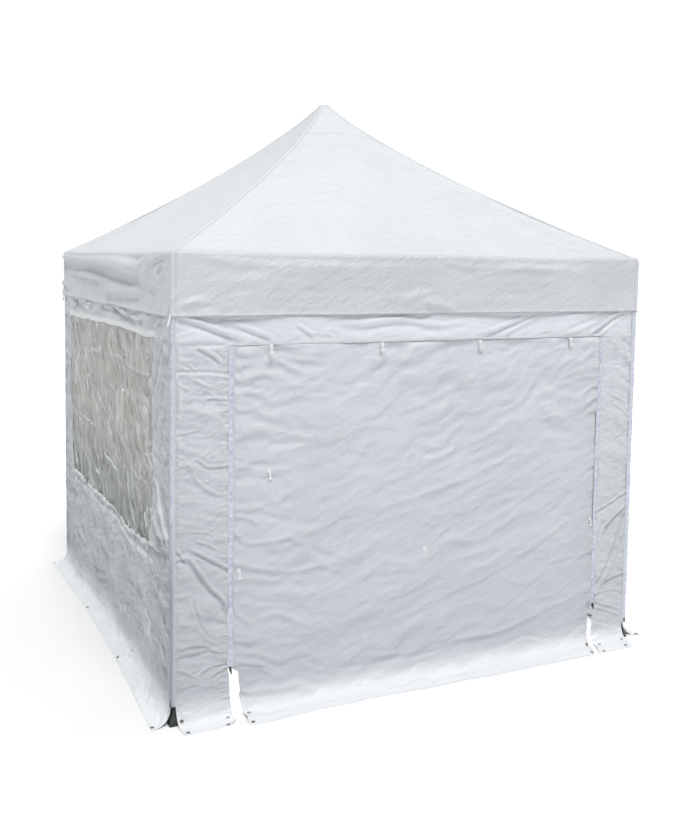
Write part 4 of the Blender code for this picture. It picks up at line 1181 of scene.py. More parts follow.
def corner_zip(name, turns, low, high, seed, tape):
    """The zip that closes two walls at a corner: tape round the corner with the coil on its edge."""
    z = np.linspace(high, low, round((high - low) / (0.0065 if turns == 0 else 0.013)) + 1)
    radius = 0.007
    line, bump = [], []
    for d in (0.0220, 0.0216, 0.016, 0.012, 0.009):
        line.append((d, 0))
        bump.append(-0.0030 if d > 0.0218 else 0.0)
    for a in np.linspace(0, math.pi / 2, 7):
        line.append((radius - radius * math.sin(a), radius - radius * math.cos(a)))
        bump.append(0.0016 * math.sin(2 * a) ** 2)
    for d in (0.009, 0.012, 0.020, 0.0315, 0.0320):
        line.append((0, d))
        bump.append(-0.0030 if d > 0.0318 else 0.0)
    line, bump = np.array(line)[::-1], np.array(bump)[::-1]
    outward = np.minimum(line - radius, 0)
    outward /= np.linalg.norm(outward, axis=1, keepdims=True)
    grow = zip_wave(z, seed, 0.0020, 0.028) + bump * (1 + 0.12 * teeth(z))
    lengths = np.concatenate([[0], np.cumsum(np.linalg.norm(np.diff(line, axis=0), axis=1))])
    x, y = (line[:, k] - ZIP_OUT + outward[:, k] * grow for k in (0, 1))
    return zip_sheet(name, x, y, z, lengths - lengths[-1] / 2, turns, tape)


# Eyelets in the ground flaps: places along the wall, and lengths of cloth past the wall's height
FRONT_EYELETS = ((-1.458, -0.018), (-1.452, 0.095), (-1.222, 0.016), (-1.228, 0.107),
                 (1.268, 0.022), (1.272, 0.105), (1.445, 0.012), (1.440, 0.095))
DOOR_EYELETS = ((-1.134, 0.012), (-1.140, 0.095), (1.186, 0.012), (1.182, 0.095))
SIDE_EYELETS = ((-1.47, 0.066), (-0.40, 0.066), (0.53, 0.066), (1.445, 0.066), (0.52, -0.036), (-1.43, 0.008))
BACK_EYELETS = ((-1.43, 0.095), (-0.52, 0.095), (0.48, 0.095), (1.43, 0.095))
EYELETS = {"front_wall_cloth": FRONT_EYELETS, "door_cloth": DOOR_EYELETS, "left_wall_cloth": SIDE_EYELETS,
           "right_wall_cloth": SIDE_EYELETS, "back_wall_cloth": BACK_EYELETS}
EYELET_RING = ((0.0060, 0.0004), (0.0062, 0.0018), (0.0078, 0.0026), (0.0098, 0.0022), (0.0112, 0.0010),
               (0.0114, 0.0002))
EYELET_HOLE = ((0.0061, 0.0), (0.0061, 0.0006))


def eyelets(metal, dark):
    """Rolled metal rings, and a dark ring in each middle that stands for the shade in the hole: painted
    shade.
    """
    rings, holes = [], []
    for name, places in EYELETS.items():
        for s, past in places:
            where, normal = on_sheet(name, s, WALL_TOP_Z + past)
            rings.append(placed(lathe(EYELET_RING), where, normal, FABRIC / 2))
            # a dark ring inside each eyelet: painted shade in its hole
            holes.append(placed(lathe(EYELET_HOLE, 14, closed=False), where, normal, FABRIC / 2))
            low = min(v.co.z for v in rings[-1].verts)
            for shape in (rings[-1], holes[-1]):
                bmesh.ops.translate(shape, vec=(0, 0, max(FLOOR_GAP - low, 0)), verts=shape.verts)
    return joined("flap_eyelets", rings, metal), joined("flap_eyelet_hole_shade", holes, dark)


# The door's toggles, as (along, out, up) from where each is sewn on: strap, bar and tail
TOGGLE_STRAP = ((0, 0.002, 0), (1, 0.007, -0.012), (1.6, 0.009, -0.026), (2, 0.007, -0.034))
TOGGLE_BAR = ((-0.014, 0.011, -0.044), (-0.012, 0.011, -0.044),
              (0.012, 0.011, -0.046), (0.014, 0.011, -0.046))
TOGGLE_TAIL = ((0, 0.010, -0.048), (0.001, 0.012, -0.060), (0.001, 0.010, -0.068))
LOOP_STRAP = ((0, 0.002, 0), (0.002, 0.008, -0.010), (0.004, 0.009, -0.028), (0.003, 0.006, -0.042))


def toggles(cloth):
    """The loops and toggles that hold the rolled-up door, hanging down while it is closed."""
    shapes = []
    for s, z in ((-0.968, 1.955), (-0.313, 1.950), (0.329, 1.948), (0.981, 1.950)):
        base = Vector((s, -(WALL_MID + 0.006), z))
        sway = 0.0012 * math.sin(37 * s)
        band, bar, tail = (
            [base + Vector((x * scale, -out, up)) for x, out, up in line]
            for line, scale in ((TOGGLE_STRAP, sway), (TOGGLE_BAR, 1), (TOGGLE_TAIL, 1)))
        shapes += [strap(band, 0.019, 0.0026), tube(bar, 0.0085, 12), strap(tail, 0.012, 0.0026)]
    for s, z in ((-0.968, 1.285), (-1.132, 0.772), (-0.018, 0.762), (1.183, 0.80)):
        where, normal = on_sheet("door_cloth", s, WALL_TOP_Z - z)
        line = [where + normal * out + Vector((x, 0, up)) for x, out, up in LOOP_STRAP]
        bar = [line[-1] - Vector((0.010, 0, 0)), line[-1] + Vector((0.010, 0, -0.001))]
        button = lathe([(0.010, 0.0), (0.0115, 0.0015), (0.009, 0.003)], 16, closed=False)
        shapes += [strap(line, 0.012, 0.0022), tube(bar, 0.0055, 10), placed(button, where, normal, 0.0008)]
    return joined("door_toggles", shapes, cloth)


CORNER_TIE = ((-1.5015, -1.4925, 0.012), (-1.5065, -1.4985, -0.004), (-1.5105, -1.5035, -0.020),
              (-1.5165, -1.5045, -0.036), (-1.5205, -1.5015, -0.043))
CORNER_PULL = ((-1.4977, -1.4877, 0.128), (-1.4987, -1.4887, 0.112), (-1.4997, -1.4897, 0.098))
DOOR_SLIDER = ((0, 0.002, 0.262), (0, 0.004, 0.250), (0, 0.003, 0.238))
DOOR_PULL = ((0.001, 0.006, 0.252), (0.002, 0.010, 0.246), (0.003, 0.009, 0.232), (0.004, 0.006, 0.224))


def corner_straps(cloth):
    """A short tie that hangs from each corner of the valance."""
    line = np.array(CORNER_TIE) + (0, 0, VALANCE_BOTTOM_Z)
    return joined("corner_ties", [strap(turned(line, turns), 0.012, 0.0025, turned((0.6, -0.8, 0.0), turns))
                                  for turns in range(4)], cloth)


def zip_pulls(dark):
    """The sliders and pull tabs at the lower ends of the door's zips and of the corner zips."""
    shapes = []
    for s in (ZIP_LEFT, ZIP_RIGHT):
        for line, width, thickness in ((DOOR_SLIDER, 0.011, 0.007), (DOOR_PULL, 0.009, 0.0035)):
            points = [(s + x, -(WALL_MID + 0.004 + out), z) for x, out, z in line]
            shapes.append(strap(points, width, thickness, sides=12))
    for turns in range(4):
        shapes.append(strap(turned(CORNER_PULL, turns), 0.009, 0.0045, turned((0.0, 1.0, 0.0), turns)))
    return joined("zip_pulls", shapes, dark)


# ---------------------------------------------------------------- materials


class Nodes:
    """A node tree, with short calls for the nodes used here."""

    def __init__(self, tree):
        self.tree = tree

    def node(self, kind, inputs=(), **settings):
        node = self.tree.nodes.new(f"ShaderNode{kind}")
        for key, value in settings.items():
            setattr(node, key, value)
        for key, value in dict(inputs).items():
            self.set(node.inputs[key], value)
        return node

    def set(self, socket, value):
        if isinstance(value, bpy.types.NodeSocket):
            self.tree.links.new(value, socket)
        else:
            socket.default_value = value

    def math(self, operation, a, b=0.0, clamp=False):
        return self.node("Math", {0: a, 1: b}, operation=operation, use_clamp=clamp).outputs[0]

    def times(self, a, *more):
        for b in more:
            a = self.math("MULTIPLY", a, b)
        return a

    def add(self, a, b, clamp=False):
        return self.math("ADD", a, b, clamp)

    def away(self, a, middle=0.0):
        """How far a value is from the middle, on either side."""
        return self.math("ABSOLUTE", self.math("SUBTRACT", a, middle) if middle else a)

    def ramp(self, value, low, high, to_low=0.0, to_high=1.0, **settings):
        return self.node("MapRange", {"Value": value, "From Min": low, "From Max": high, "To Min": to_low,
                                      "To Max": to_high}, clamp=True, **settings).outputs[0]

    def mix(self, share, a, b):
        node = self.node("Mix", {"Factor": share}, data_type="RGBA")
        for socket, value in zip([s for s in node.inputs if s.type == "RGBA"], (a, b)):
            self.set(socket, value)
        return [s for s in node.outputs if s.type == "RGBA"][0]


class Paint(Nodes):
    """A material's nodes."""

    def __init__(self, name):
        self.material = bpy.data.materials.new(name)
        self.material.use_nodes = True
        super().__init__(self.material.node_tree)
        self.shader = self.tree.nodes["Principled BSDF"]

    def coords(self, kind="Object"):
        return self.node("TexCoord").outputs[kind]

    def xyz(self, vector):
        return self.node("SeparateXYZ", {0: vector}).outputs

    def painted(self, label):
        """A value that cloth_object has painted on the mesh."""
        return self.node("Attribute", attribute_name=label).outputs["Fac"]

    def scaled(self, vector, scale):
        return self.node("Mapping", {"Vector": vector, "Scale": scale}).outputs[0]

    def noise(self, vector, scale, detail=2.0, rough=0.5, bend=0.0):
        return self.node("TexNoise", {"Vector": vector, "Scale": scale, "Detail": detail, "Roughness": rough,
                                      "Distortion": bend}).outputs[0]

    def streaks(self, vector, length, width, angle, detail=2.0, rough=0.5, bend=0.0):
        """Noise drawn out along an angle in degrees, with lumps of a length and a width in metres."""
        place = self.node("Mapping", {"Vector": vector, "Scale": (length, width, 1.0),
                                      "Rotation": (0, 0, math.radians(angle))}, vector_type="TEXTURE")
        return self.noise(place.outputs[0], 1.0, detail, rough, bend)

    def coats(self, base, rows):
        """Colours laid over a base: each row is (value, low, high, share, colour) and what masks it, and
        the share grows from 0 to its most as the value goes from low to high."""
        for value, low, high, share, colour, *masks in rows:
            base = self.mix(self.times(self.ramp(value, low, high, 0, share), *masks), base, (*colour, 1))
        return base

    def bump(self, height, strength, distance, normal=None):
        inputs = {"Height": height, "Strength": strength, "Distance": distance}
        if normal is not None:
            inputs["Normal"] = normal
        return self.node("Bump", inputs).outputs[0]

    def weave(self, uv, pitch=0.0009):
        """A plain weave of threads, as a height."""
        x, y, _ = self.xyz(uv)
        across, up = (self.away(self.math("SINE", self.times(place, math.pi / pitch))) for place in (x, y))
        return self.add(across, up)

    def finished(self, base, rough, normal, **inputs):
        """The material, with its colour, roughness, normal and the shader's other inputs set."""
        inputs = {"Base Color": base, "Roughness": rough, "Normal": normal,
                  **{key.replace("_", " "): value for key, value in inputs.items()}}
        for key, value in inputs.items():
            if value is not None:
                self.set(self.shader.inputs[key], value)
        return self.material


def scaled_colour(colour, factor):
    """A colour made lighter or darker."""
    return tuple(min(factor * c, BRIGHTEST) for c in colour)


# Sizes of the cloth's own creases: length and width in metres, and height
SOFT_LUMPS = ((0.15, 0.050, 0.75), (0.060, 0.026, 0.26), (0.026, 0.012, 0.17))
LONG_LUMPS = ((0.17, 0.042, 0.62), (0.085, 0.020, 0.36), (0.040, 0.010, 0.14))
BAND_LUMPS = ((0.15, 0.050, 0.70), (0.055, 0.024, 0.42), (0.022, 0.011, 0.34))


def cloth_material(name, colour, shade, dirt_and_shade, crumple, through=0.15, turn=28.0, lit_flap_colour=None, lumps=SOFT_LUMPS,
                   sewn=(), dark=0.70, bright=1.16, ends=0.36, hatched=0.0):
    """Coated polyester: faint mottling, painted shade in the hollows and painted highlights on the crests,
    fine creases, weave, light coming through.

    turn slants the creases, in degrees, crumple is how deep they are and through how much light comes
    through. lit_flap_colour is the colour of a wall's ground flap, painted lighter than the wall: a
    painted highlight where it faces the sky. sewn lists how far from a wall's middle it is sewn to a zip,
    where it puckers. dark, bright and ends are how strong the painted shade and painted highlights of the
    mark lines and the painted shade at a wall's ends are. hatched is how strong the painted light and shade
    of the fine slanting creases are that slack cloth shows low down.
    """
    paint = Paint(name)
    where, uv = paint.coords(), paint.coords("UV")
    hollow, mark = paint.painted("fold"), paint.painted("mark")
    z = paint.xyz(where)[2]
    across = paint.away(paint.xyz(uv)[0])
    soiled = paint.ramp(paint.noise(where, 5.0, 4.0), 0.35, 0.75)
    base = paint.coats((*colour, 1), (
        (paint.noise(where, 1.7, 3.0), 0.35, 0.65, 1.0, shade),
        (paint.noise(where, 14.0, 3.0), 0.45, 0.75, 0.25, shade),
        # painted shade in the hollows of the creases, and painted highlights on their crests
        (hollow, 0.10, 1.0, 0.60, dirt_and_shade),
        (hollow, -0.25, -1.0, 0.80, scaled_colour(colour, 1.16)),
        # dirt low down, in patches
        (z, 0.55, 0.02, 0.30, dirt_and_shade, soiled, paint.ramp(z, 0.03, 0.09)),
    ))
    if lit_flap_colour is not None:
        # painted shade: the wall darker lower down; then a painted highlight on its top band, above 1.97 m,
        # and painted shade towards its ends low down
        base = paint.mix(paint.ramp(z, 2.0, 0.30, 0.10, 0.76), base, (*scaled_colour(colour, 0.75), 1))
        base = paint.coats(base, (
            (z, 1.97, 1.99, 0.60, scaled_colour(colour, 1.14)),
            (across, 0.95, 1.47, ends, scaled_colour(colour, 0.58), paint.ramp(z, 1.8, 0.7, 0.2, 1.0)),
        ))
    if hatched:
        # painted highlights and painted shade of fine slanting creases on the slack cloth low down
        slack = paint.times(paint.ramp(z, 2.0, 1.40, 0.35, 1.0), paint.ramp(z, 0.10, 0.22))
        for length, width, angle, part in ((0.22, 0.026, 24, 1.0), (0.14, 0.020, -12, 0.7)):
            hatch = paint.streaks(uv, length, width, angle, 2.0, 0.6)
            base = paint.coats(base, (
                (hatch, 0.53, 0.68, 0.75 * hatched * part, (0.88, 0.91, 0.93), slack),
                (hatch, 0.47, 0.32, hatched * part, dirt_and_shade, slack),
            ))
    # the mark lines: painted shade, and below 0 painted highlights
    base = paint.coats(base, (
        (mark, 0.0, 1.0, dark, dirt_and_shade),
        (mark, 0.0, -1.0, 0.90, scaled_colour(colour, bright)),
    ))
    if lit_flap_colour is not None:
        # the ground flap painted lighter than the wall: a painted highlight where it faces the sky
        base = paint.coats(base, ((z, 0.155, 0.075, 0.60, lit_flap_colour), (z, 0.080, 0.008, 1.0, lit_flap_colour)))
    height = paint.times(paint.away(paint.streaks(uv, 0.22, 0.11, 12 - turn, 1.0), 0.5), -0.75)
    for k, (length, width, tall) in enumerate(lumps):
        lump = paint.streaks(uv, length, width, 14 * k - turn, 1.0 + k, 0.5, 0.3)
        height = paint.add(height, paint.times(lump, tall))
        fine = paint.away(paint.streaks(uv, length * 0.9, width, -18 * k - turn, 1.0), 0.5)
        height = paint.add(height, paint.times(fine, -0.8 * tall))
    gathers = paint.streaks(uv, 0.10, 0.015, 0, 2.0, 0.5, 0.4) if sewn else None
    for place in sewn:
        near = paint.math("POWER", paint.ramp(paint.away(across, place), 0.085, 0.005), 1.6)
        height = paint.add(height, paint.times(near, gathers, 0.75))
    normal = paint.bump(height, 1.0, 0.0062 * crumple)
    normal = paint.bump(paint.weave(uv), 0.10, 0.00015, normal)
    paint.finished(base, 0.42, normal, Sheen_Weight=0.05, Specular_IOR_Level=0.5)
    light = paint.node("BsdfTranslucent", {"Color": (*colour, 1), "Normal": normal})
    blend = paint.node("MixShader", {0: through, 1: paint.shader.outputs[0], 2: light.outputs[0]})
    paint.set(paint.tree.nodes["Material Output"].inputs["Surface"], blend.outputs[0])
    return paint.material


def seam_material():
    """Doubled cloth with a stitched line along both edges."""
    paint = Paint("canopy_seam")
    uv = paint.coords("UV")
    across = paint.away(paint.xyz(uv)[0])
    spots = paint.noise(paint.scaled(uv, (30.0, 18.0, 1.0)), 1.0, 3.0)
    base = paint.coats((0.67, 0.70, 0.72, 1), (
        (across, 0.0095, 0.0125, 1.0, (0.53, 0.56, 0.58)),
        (across, 0.0030, 0.0005, 0.7, (0.57, 0.60, 0.62)),
        (spots, 0.4, 0.7, 0.4, (0.60, 0.63, 0.65)),
    ))
    return paint.finished(base, 0.45, paint.bump(spots, 0.6, 0.002))


PALE, GLINT = (0.80, 0.81, 0.79), (0.92, 0.94, 0.94)


def film_material(name, calm):
    """Clear vinyl film gone hazy: long streaks of haze and painted reflection, painted glints on the waves,
    painted shade lines, grey-beige; calm evens it out.
    """
    paint = Paint(name)
    uv = paint.coords("UV")
    x, y, _ = paint.xyz(uv)
    bent = paint.add(x, paint.times(paint.noise(uv, 2.6, 1.0), 0.30))
    wavy = paint.node("CombineXYZ", {0: bent, 1: y}).outputs[0]

    def streaks(length, width, angle, detail=3.0, rough=0.6):
        return paint.streaks(wavy, length, width, angle, detail, rough)

    def lines(length, width, angle, thin, patch):
        """Thin crooked lines, in patches."""
        away = paint.away(paint.streaks(wavy, length, width, angle, 1.0, 0.5, 0.25), 0.5)
        shown = paint.ramp(paint.noise(uv, patch, 3.0), 0.46, 0.60)
        return paint.times(paint.ramp(away, thin, thin * 0.2), shown)

    long, fine, slant = streaks(0.34, 0.085, 66), streaks(0.16, 0.028, 60), streaks(0.30, 0.022, 38)
    deep, wide = streaks(0.36, 0.050, 60, 2.0), streaks(0.50, 0.11, 58, 2.0, 0.5)
    cloudy = paint.noise(paint.scaled(uv, (2.2, 7.0, 1.0)), 1.0)
    mark = paint.painted("mark")
    low = paint.ramp(y, 0.80, 1.35)
    # glints and crossing: painted glints, thin light lines that stand for reflections on the film's waves;
    # shadows: painted shade lines
    glints, crossing = lines(0.40, 0.070, 48, 0.018, 9.0), lines(0.34, 0.080, 24, 0.012, 7.0)
    shadows = lines(0.36, 0.080, 58, 0.030, 6.0)
    base = paint.coats((0.29, 0.295, 0.250, 1), (
        (long, 0.38, 0.62, 1.0, (0.61, 0.605, 0.555)),
        (slant, 0.54, 0.70, 0.42, (0.80, 0.82, 0.80)),
        (slant, 0.46, 0.32, 0.36, (0.14, 0.15, 0.125)),
        (fine, 0.52, 0.66, 0.68, PALE),
        (fine, 0.48, 0.34, 0.68, (0.12, 0.13, 0.105)),
        (cloudy, 0.53, 0.68, 0.40, (0.70, 0.72, 0.69)),
        (cloudy, 0.47, 0.34, 0.36, (0.15, 0.155, 0.125)),
        (paint.noise(uv, 6.0, 4.0, 0.6), 0.42, 0.66, 0.40, (0.35, 0.33, 0.275)),
        (low, 0, 1, 0.68, (0.11, 0.155, 0.13)),
        (deep, 0.50, 0.40, 0.90, (0.035, 0.05, 0.04), low),
        (deep, 0.53, 0.64, 0.85, (0.64, 0.68, 0.65), low),
        (wide, 0.52, 0.66, 0.60, (0.50, 0.54, 0.51), low),
        (wide, 0.48, 0.34, 0.85, (0.05, 0.07, 0.055), low),
        # painted shade lines, the marks' painted shade and painted glints, and the painted glint lines
        (shadows, 0, 1, 0.7, (0.08, 0.09, 0.075)),
        (mark, 0.0, 1.0, 0.65, (0.07, 0.08, 0.07)),
        (mark, 0.0, -1.2, 0.90, GLINT),
        (paint.add(glints, crossing), 0, 1, 0.8, GLINT),
    ))
    if calm:
        base = paint.mix(calm, base, (0.52, 0.525, 0.495, 1))
    clearer = 0.25 * calm
    haze = paint.ramp(fine, 0.35, 0.65, 0.58 - clearer, 0.70 - clearer)
    haze = paint.add(haze, paint.times(glints, 0.3), clamp=True)
    normal = paint.bump(paint.add(long, paint.times(fine, 0.5)), 1.0, 0.020 * (1 - calm))
    return paint.finished(base, 0.16, normal, Specular_IOR_Level=0.7, Alpha=haze)


def tape_material(name, shade):
    """Lavender zip tape with its coil, which waves, with painted highlights and painted shade along the
    waves; shade is how much darker it is painted low down, left of the coil: painted shade, with some grime.
    """
    paint = Paint(name)
    uv = paint.coords("UV")
    x, y, _ = paint.xyz(uv)
    across = paint.away(x)
    coil, near = paint.ramp(across, 0.0050, 0.0040), paint.ramp(across, 0.0095, 0.0060)
    uneven = paint.noise(paint.scaled(uv, (1.0, 14.0, 1.0)), 1.0)
    ticks = paint.math("SINE", paint.times(y, 2 * math.pi / 0.0030))
    waves = paint.add(paint.times(y, 2 * math.pi / 0.043), paint.times(paint.noise(uv, 9.0), 14.0))
    waves = paint.math("SINE", waves)
    base = paint.coats((0.50, 0.54, 0.70, 1), (
        (uneven, 0.42, 0.58, 1.0, (0.66, 0.69, 0.80)),
        (across, 0.0072, 0.0100, 1.0, (0.60, 0.63, 0.69)),
        (coil, 0, 1, 0.4, (0.62, 0.65, 0.76)),
        (ticks, 0.0, 1.0, 0.16, (0.46, 0.49, 0.66), coil),
        # painted highlights and painted shade along the tape's waves
        (waves, 0.1, 1.0, 0.60, (0.76, 0.79, 0.88), near),
        (waves, 0.0, -1.0, 0.22, (0.46, 0.50, 0.66), near),
    ))
    if shade:
        # painted shade, with some grime, low down left of the coil
        low = paint.ramp(y, 1.15, 0.68, 0.12, 1.0)
        base = paint.coats(base, [(x, 0.0260, 0.0085, shade, (0.26, 0.28, 0.33), low)])
    normal = paint.bump(paint.times(coil, ticks), 0.5, 0.0006)
    normal = paint.bump(paint.weave(uv, 0.0007), 0.15, 0.0002, normal)
    return paint.finished(base, 0.6, normal, Sheen_Weight=0.1)


def hard_material(name, colour, wear, worn, rough, metallic=0.0, bevel=None, grain=None, dust=()):
    """Paint, plastic or metal with worn spots.

    wear is the spots' noise (scale, detail, roughness), worn how they show (low, high, share, colour)
    and rough the noise's range and the roughness at its ends. grain is the fine bump's noise, strength
    and depth.
    """
    paint = Paint(name)
    where = paint.coords()
    spots = paint.noise(where, *wear)
    rows = [(spots, *worn)]
    if dust:
        rows.append((paint.noise(where, *dust[0]), *dust[1]))
    normal = paint.node("Bevel", {"Radius": bevel}, samples=4).outputs[0] if bevel else None
    if grain:
        fine, strength, depth = grain
        normal = paint.bump(paint.noise(where, *fine) if fine else spots, strength, depth, normal)
    base = paint.coats((*colour, 1), rows)
    return paint.finished(base, paint.ramp(spots, *rough), normal, Metallic=metallic)


def powder_coat():
    return hard_material(
        "frame_powder_coat", (0.60, 0.61, 0.62), (9.0, 5.0, 0.65), (0.55, 0.72, 0.6, (0.50, 0.51, 0.52)),
        (0.3, 0.7, 0.38, 0.52), 0.35, 0.0018, ((900.0, 1.0), 0.12, 0.0003))


def moulded_nylon():
    return hard_material(
        "moulded_nylon", (0.030, 0.032, 0.034), (40.0, 4.0, 0.6), (0.55, 0.75, 0.5, (0.10, 0.10, 0.105)),
        (0.3, 0.7, 0.42, 0.62), 0.0, 0.002, ((1400.0, 2.0), 0.25, 0.0003))


def foot_paint():
    return hard_material(
        "foot_paint", (0.045, 0.055, 0.055), (55.0, 5.0, 0.7), (0.58, 0.70, 0.8, (0.26, 0.28, 0.27)),
        (0.4, 0.7, 0.40, 0.75), 0.25, 0.0025, (None, 0.3, 0.0008),
        ((22.0, 4.0, 0.6), (0.50, 0.80, 0.5, (0.20, 0.21, 0.20))))


def eyelet_metal():
    return hard_material(
        "eyelet_metal", (0.62, 0.61, 0.56), (180.0, 3.0), (0.45, 0.7, 1.0, (0.30, 0.28, 0.23)),
        (0.3, 0.7, 0.25, 0.5), 0.9)


def floor_material():
    """Plain pale floor, a shade lighter far away so that it runs into the backdrop."""
    paint = Paint("studio_floor")
    where = paint.coords()
    x, y, _ = paint.xyz(where)
    far = paint.math("SQRT", paint.add(paint.times(x, x), paint.times(y, y)))
    base = paint.coats((0.86, 0.86, 0.86, 1), (
        (far, 3.0, 14.0, 1.0, (0.88, 0.88, 0.88)),
        (paint.noise(where, 3.0, 3.0), 0.3, 0.7, 0.04, (0.70, 0.70, 0.70)),
    ))
    return paint.finished(base, 0.9, None, Specular_IOR_Level=0.1)


# ---------------------------------------------------------------- putting it together


def finish_piece(thing, slot, *nodes):
    if nodes:
        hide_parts(*nodes)
    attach(thing, "root")
    return thing


def add_cloth():
    roof = cloth_material("canopy_cloth", (0.785, 0.815, 0.835), (0.745, 0.78, 0.80), (0.60, 0.62, 0.64), 1.5,
                          turn=8, hatched=0.45)
    band = cloth_material("valance_cloth", (0.725, 0.75, 0.79), (0.66, 0.69, 0.725), (0.50, 0.53, 0.56), 1.8,
                          0.10, turn=-28, lumps=BAND_LUMPS)
    wall, plain = (
        cloth_material(name, (0.775, 0.805, 0.855), (0.72, 0.75, 0.80), (0.50, 0.53, 0.58), crumple,
                       lit_flap_colour=(0.875, 0.895, 0.92), sewn=sewn)
        for name, crumple, sewn in (("wall_cloth", 1.5, (WALL_END, -ZIP_LEFT, ZIP_RIGHT)),
                                    ("back_wall_cloth", 1.2, (WALL_END,))))
    sides = [f"roof_panel_{side}" for side in TURNS]
    top = finish_piece(canopy(roof), "canopy_cloth", *sides)
    finish_piece(canopy_seams(seam_material()), "canopy_cloth")
    edge = finish_piece(valance(band), "canopy_cloth", "valance")
    front = finish_piece(front_wall(wall), "wall_cloth", "front_wall")
    panel = finish_piece(door(wall), "wall_cloth", "door_panel")
    # the photo shows the left wall; the right one is a little smoother, and its film clearer
    for side, step, seed, hatched, calm in (("left", LEFT_STEP, 200, 0.55, 0.0),
                                            ("right", RIGHT_STEP, 300, 0.25, 0.55)):
        # the window walls' cloth is a darker, greyer copy of the front wall's: painted shade on the sides
        # turned away from the key light; its flap is painted lighter still
        shaded = cloth_material(
            f"{side}_wall_cloth", (0.72, 0.755, 0.785), (0.60, 0.64, 0.67), (0.36, 0.40, 0.43), 2.0, turn=-14,
            lit_flap_colour=(0.955, 0.98, 0.995), lumps=LONG_LUMPS, sewn=(WALL_END,), dark=0.85, bright=1.32, ends=0.80,
            hatched=hatched)
        cloth, pane = window_wall(side, step, seed, shaded, film_material(f"{side}_window_film", calm))
        finish_piece(cloth, "wall_cloth", f"{side}_wall")
        finish_piece(pane, "window_film", f"{side}_window")
    back = finish_piece(plain_wall(plain), "wall_cloth", "back_wall")


def add_zips():
    """Of the corner zips, only the front left one is painted darker low down, left of its coil, as in the
    photo: painted shade, with some grime.
    """
    tape, corner_tape = tape_material("zip_tape", 0.0), tape_material("corner_zip_tape", 0.85)
    for side, middle, seed in (("left", ZIP_LEFT, 130), ("right", ZIP_RIGHT, 140)):
        finish_piece(door_zip(f"door_zip_{side}_tape", middle, seed, tape), "zip_tape", f"door_zip_{side}")
    for turns, corner in enumerate(CORNERS):
        piece = corner_zip(f"corner_zip_{corner}_tape", turns, 0.10, 2.18, 150 + 10 * turns,
                           corner_tape if turns == 0 else tape)
        finish_piece(piece, "zip_tape", f"corner_zip_{corner}")


def add_small_parts(nylon):
    rings, holes = eyelets(eyelet_metal(), nylon)
    finish_piece(rings, "frame_metal")
    finish_piece(holes, "casting")
    tie = cloth_material("tie_tape", (0.88, 0.90, 0.92), (0.82, 0.84, 0.87), (0.6, 0.62, 0.65), 0.2)
    finish_piece(toggles(tie), "wall_cloth")
    finish_piece(corner_straps(tie), "canopy_cloth")
    finish_piece(zip_pulls(nylon), "casting")


def dress_frame(nylon):
    """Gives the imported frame's own pieces their finishes, by how their names start."""
    finishes = (
        (powder_coat(), ("outer_leg", "inner_leg", "side_truss", "roof_truss", "centre_pole")),
        (foot_paint(), ("foot",)),
        (nylon, ("top_bracket", "slider", "lower_hub", "peak_cap")),
    )
    for name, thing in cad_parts.items():
        thing = thing if isinstance(thing, bpy.types.Object) else bpy.data.objects[name]
        for finish, starts in finishes:
            if name.startswith(starts):
                for slot in thing.material_slots:
                    slot.material = finish
                if not thing.material_slots:
                    thing.data.materials.append(finish)


def add_floor():
    bpy.ops.mesh.primitive_circle_add(vertices=96, radius=70, fill_type="TRIFAN", location=(0, 0, -0.0004))
    floor = bpy.context.object
    floor.name = "studio_floor"
    floor.data.materials.append(floor_material())


def grey(level):
    """A colour of the world, whose strength is 2."""
    return (level / 2, level / 2, level / 2, 1)


def add_lamp(kind, name, energy, location=(0, 0, 0), **settings):
    lamp = bpy.data.lights.new(name, kind)
    lamp.energy = energy
    for key, value in settings.items():
        setattr(lamp, key, value)
    thing = linked(name, lamp)
    thing.location = location
    return thing


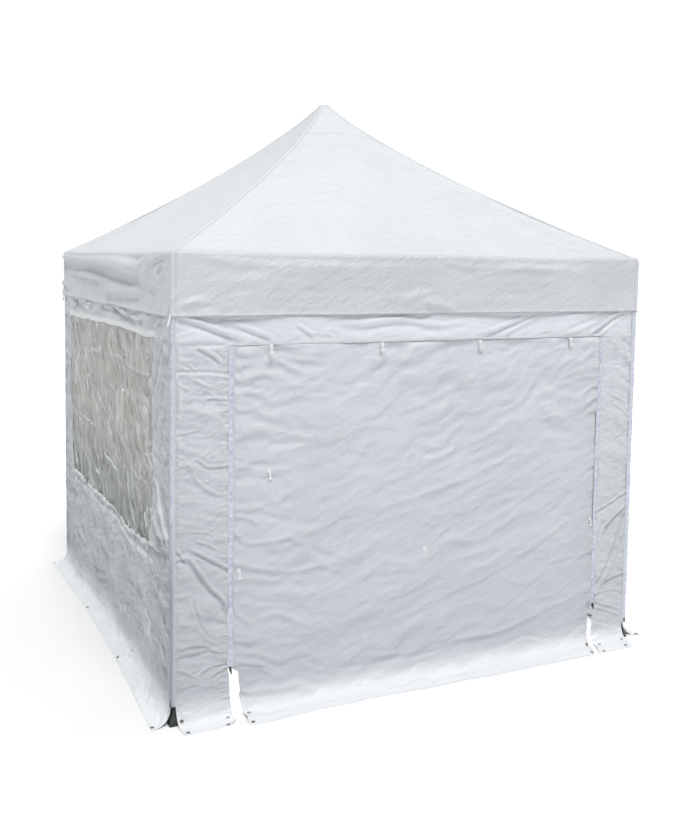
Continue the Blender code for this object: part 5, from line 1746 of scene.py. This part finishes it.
def add_light():
    """A white backdrop behind the tent, a broad soft box overhead, dim sides and one soft key light."""
    world = bpy.data.worlds.new("studio")
    bpy.context.scene.world = world
    world.use_nodes = True
    nodes = Nodes(world.node_tree)
    coords = nodes.node("TexCoord").outputs["Generated"]
    height = nodes.node("SeparateXYZ", {0: coords}).outputs["Z"]
    sky = nodes.node("ValToRGB", {0: height})
    stops = ((0.0, LOW_LIGHT), (0.25, LOW_LIGHT), (0.50, MIDDLE_LIGHT),
             (0.70, (MIDDLE_LIGHT + TOP_LIGHT) / 2), (0.85, TOP_LIGHT), (1.0, TOP_LIGHT))
    while len(sky.color_ramp.elements) < len(stops):
        sky.color_ramp.elements.new(0.5)
    for element, (place, value) in zip(sky.color_ramp.elements, stops):
        element.position = place
        element.color = grey(value)

    def vector(operation, output, *values):
        return nodes.node("VectorMath", dict(enumerate(values)), operation=operation).outputs[output]

    level = vector("NORMALIZE", "Vector", vector("MULTIPLY", "Vector", coords, (1, 1, 0)))
    behind = vector("DOT_PRODUCT", "Value", level, BACKDROP_WAY)
    share = nodes.times(*(nodes.ramp(value, low, high, interpolation_type="SMOOTHSTEP")
                          for value, low, high in ((behind, 0.45, 0.75), (height, 0.50, 0.38))))
    background = world.node_tree.nodes["Background"]
    nodes.set(background.inputs[0], nodes.mix(share, sky.outputs[0], grey(BACKDROP)))
    background.inputs["Strength"].default_value = 2.0
    key = add_lamp("SUN", "soft_key", KEY_LIGHT, angle=math.radians(26))
    key.rotation_euler = Vector(KEY_FROM).to_track_quat("Z", "Y").to_euler()
    add_lamp("POINT", "inside_fill", INSIDE_LIGHT, (0, 0, 1.5), shadow_soft_size=0.5)
    add_lamp("AREA", "threshold_fill", THRESHOLD_LIGHT, (0, -1.10, 1.9), shape="RECTANGLE", size=2.7,
             size_y=0.30, spread=math.radians(70))


def add_camera():
    """The photograph's camera: its lens in pixels and its middle are fitted to the tent's corners."""
    wide, tall, focal, middle_x, middle_y = 685, 837, 974.6, 346.0, 335.1
    azimuth, pitch, roll = (math.radians(a) for a in (25.891, -4.353, -0.814))
    level = math.cos(pitch)
    ahead = Vector((math.sin(azimuth) * level, math.cos(azimuth) * level, math.sin(pitch)))
    right = Vector((math.cos(azimuth), -math.sin(azimuth), 0))
    down = ahead.cross(right)
    x = right * math.cos(roll) + down * math.sin(roll)
    y = -(-right * math.sin(roll) + down * math.cos(roll))
    data = bpy.data.cameras.new("camera")
    camera = linked("camera", data)
    turn = Matrix((x, y, -ahead)).transposed().to_4x4()
    camera.matrix_world = Matrix.Translation((-2.824, -6.218, 2.392)) @ turn
    data.sensor_width = 36
    data.sensor_fit = "AUTO"
    data.lens = focal * data.sensor_width / tall
    data.shift_x, data.shift_y = (wide / 2 - middle_x) / tall, (middle_y - tall / 2) / tall
    data.clip_end = 300
    bpy.context.scene.camera = camera


nylon = moulded_nylon()
add_cloth()
add_zips()
add_small_parts(nylon)
dress_frame(nylon)
add_floor()
add_light()
add_camera()
bpy.context.scene.view_settings.view_transform = "Standard"
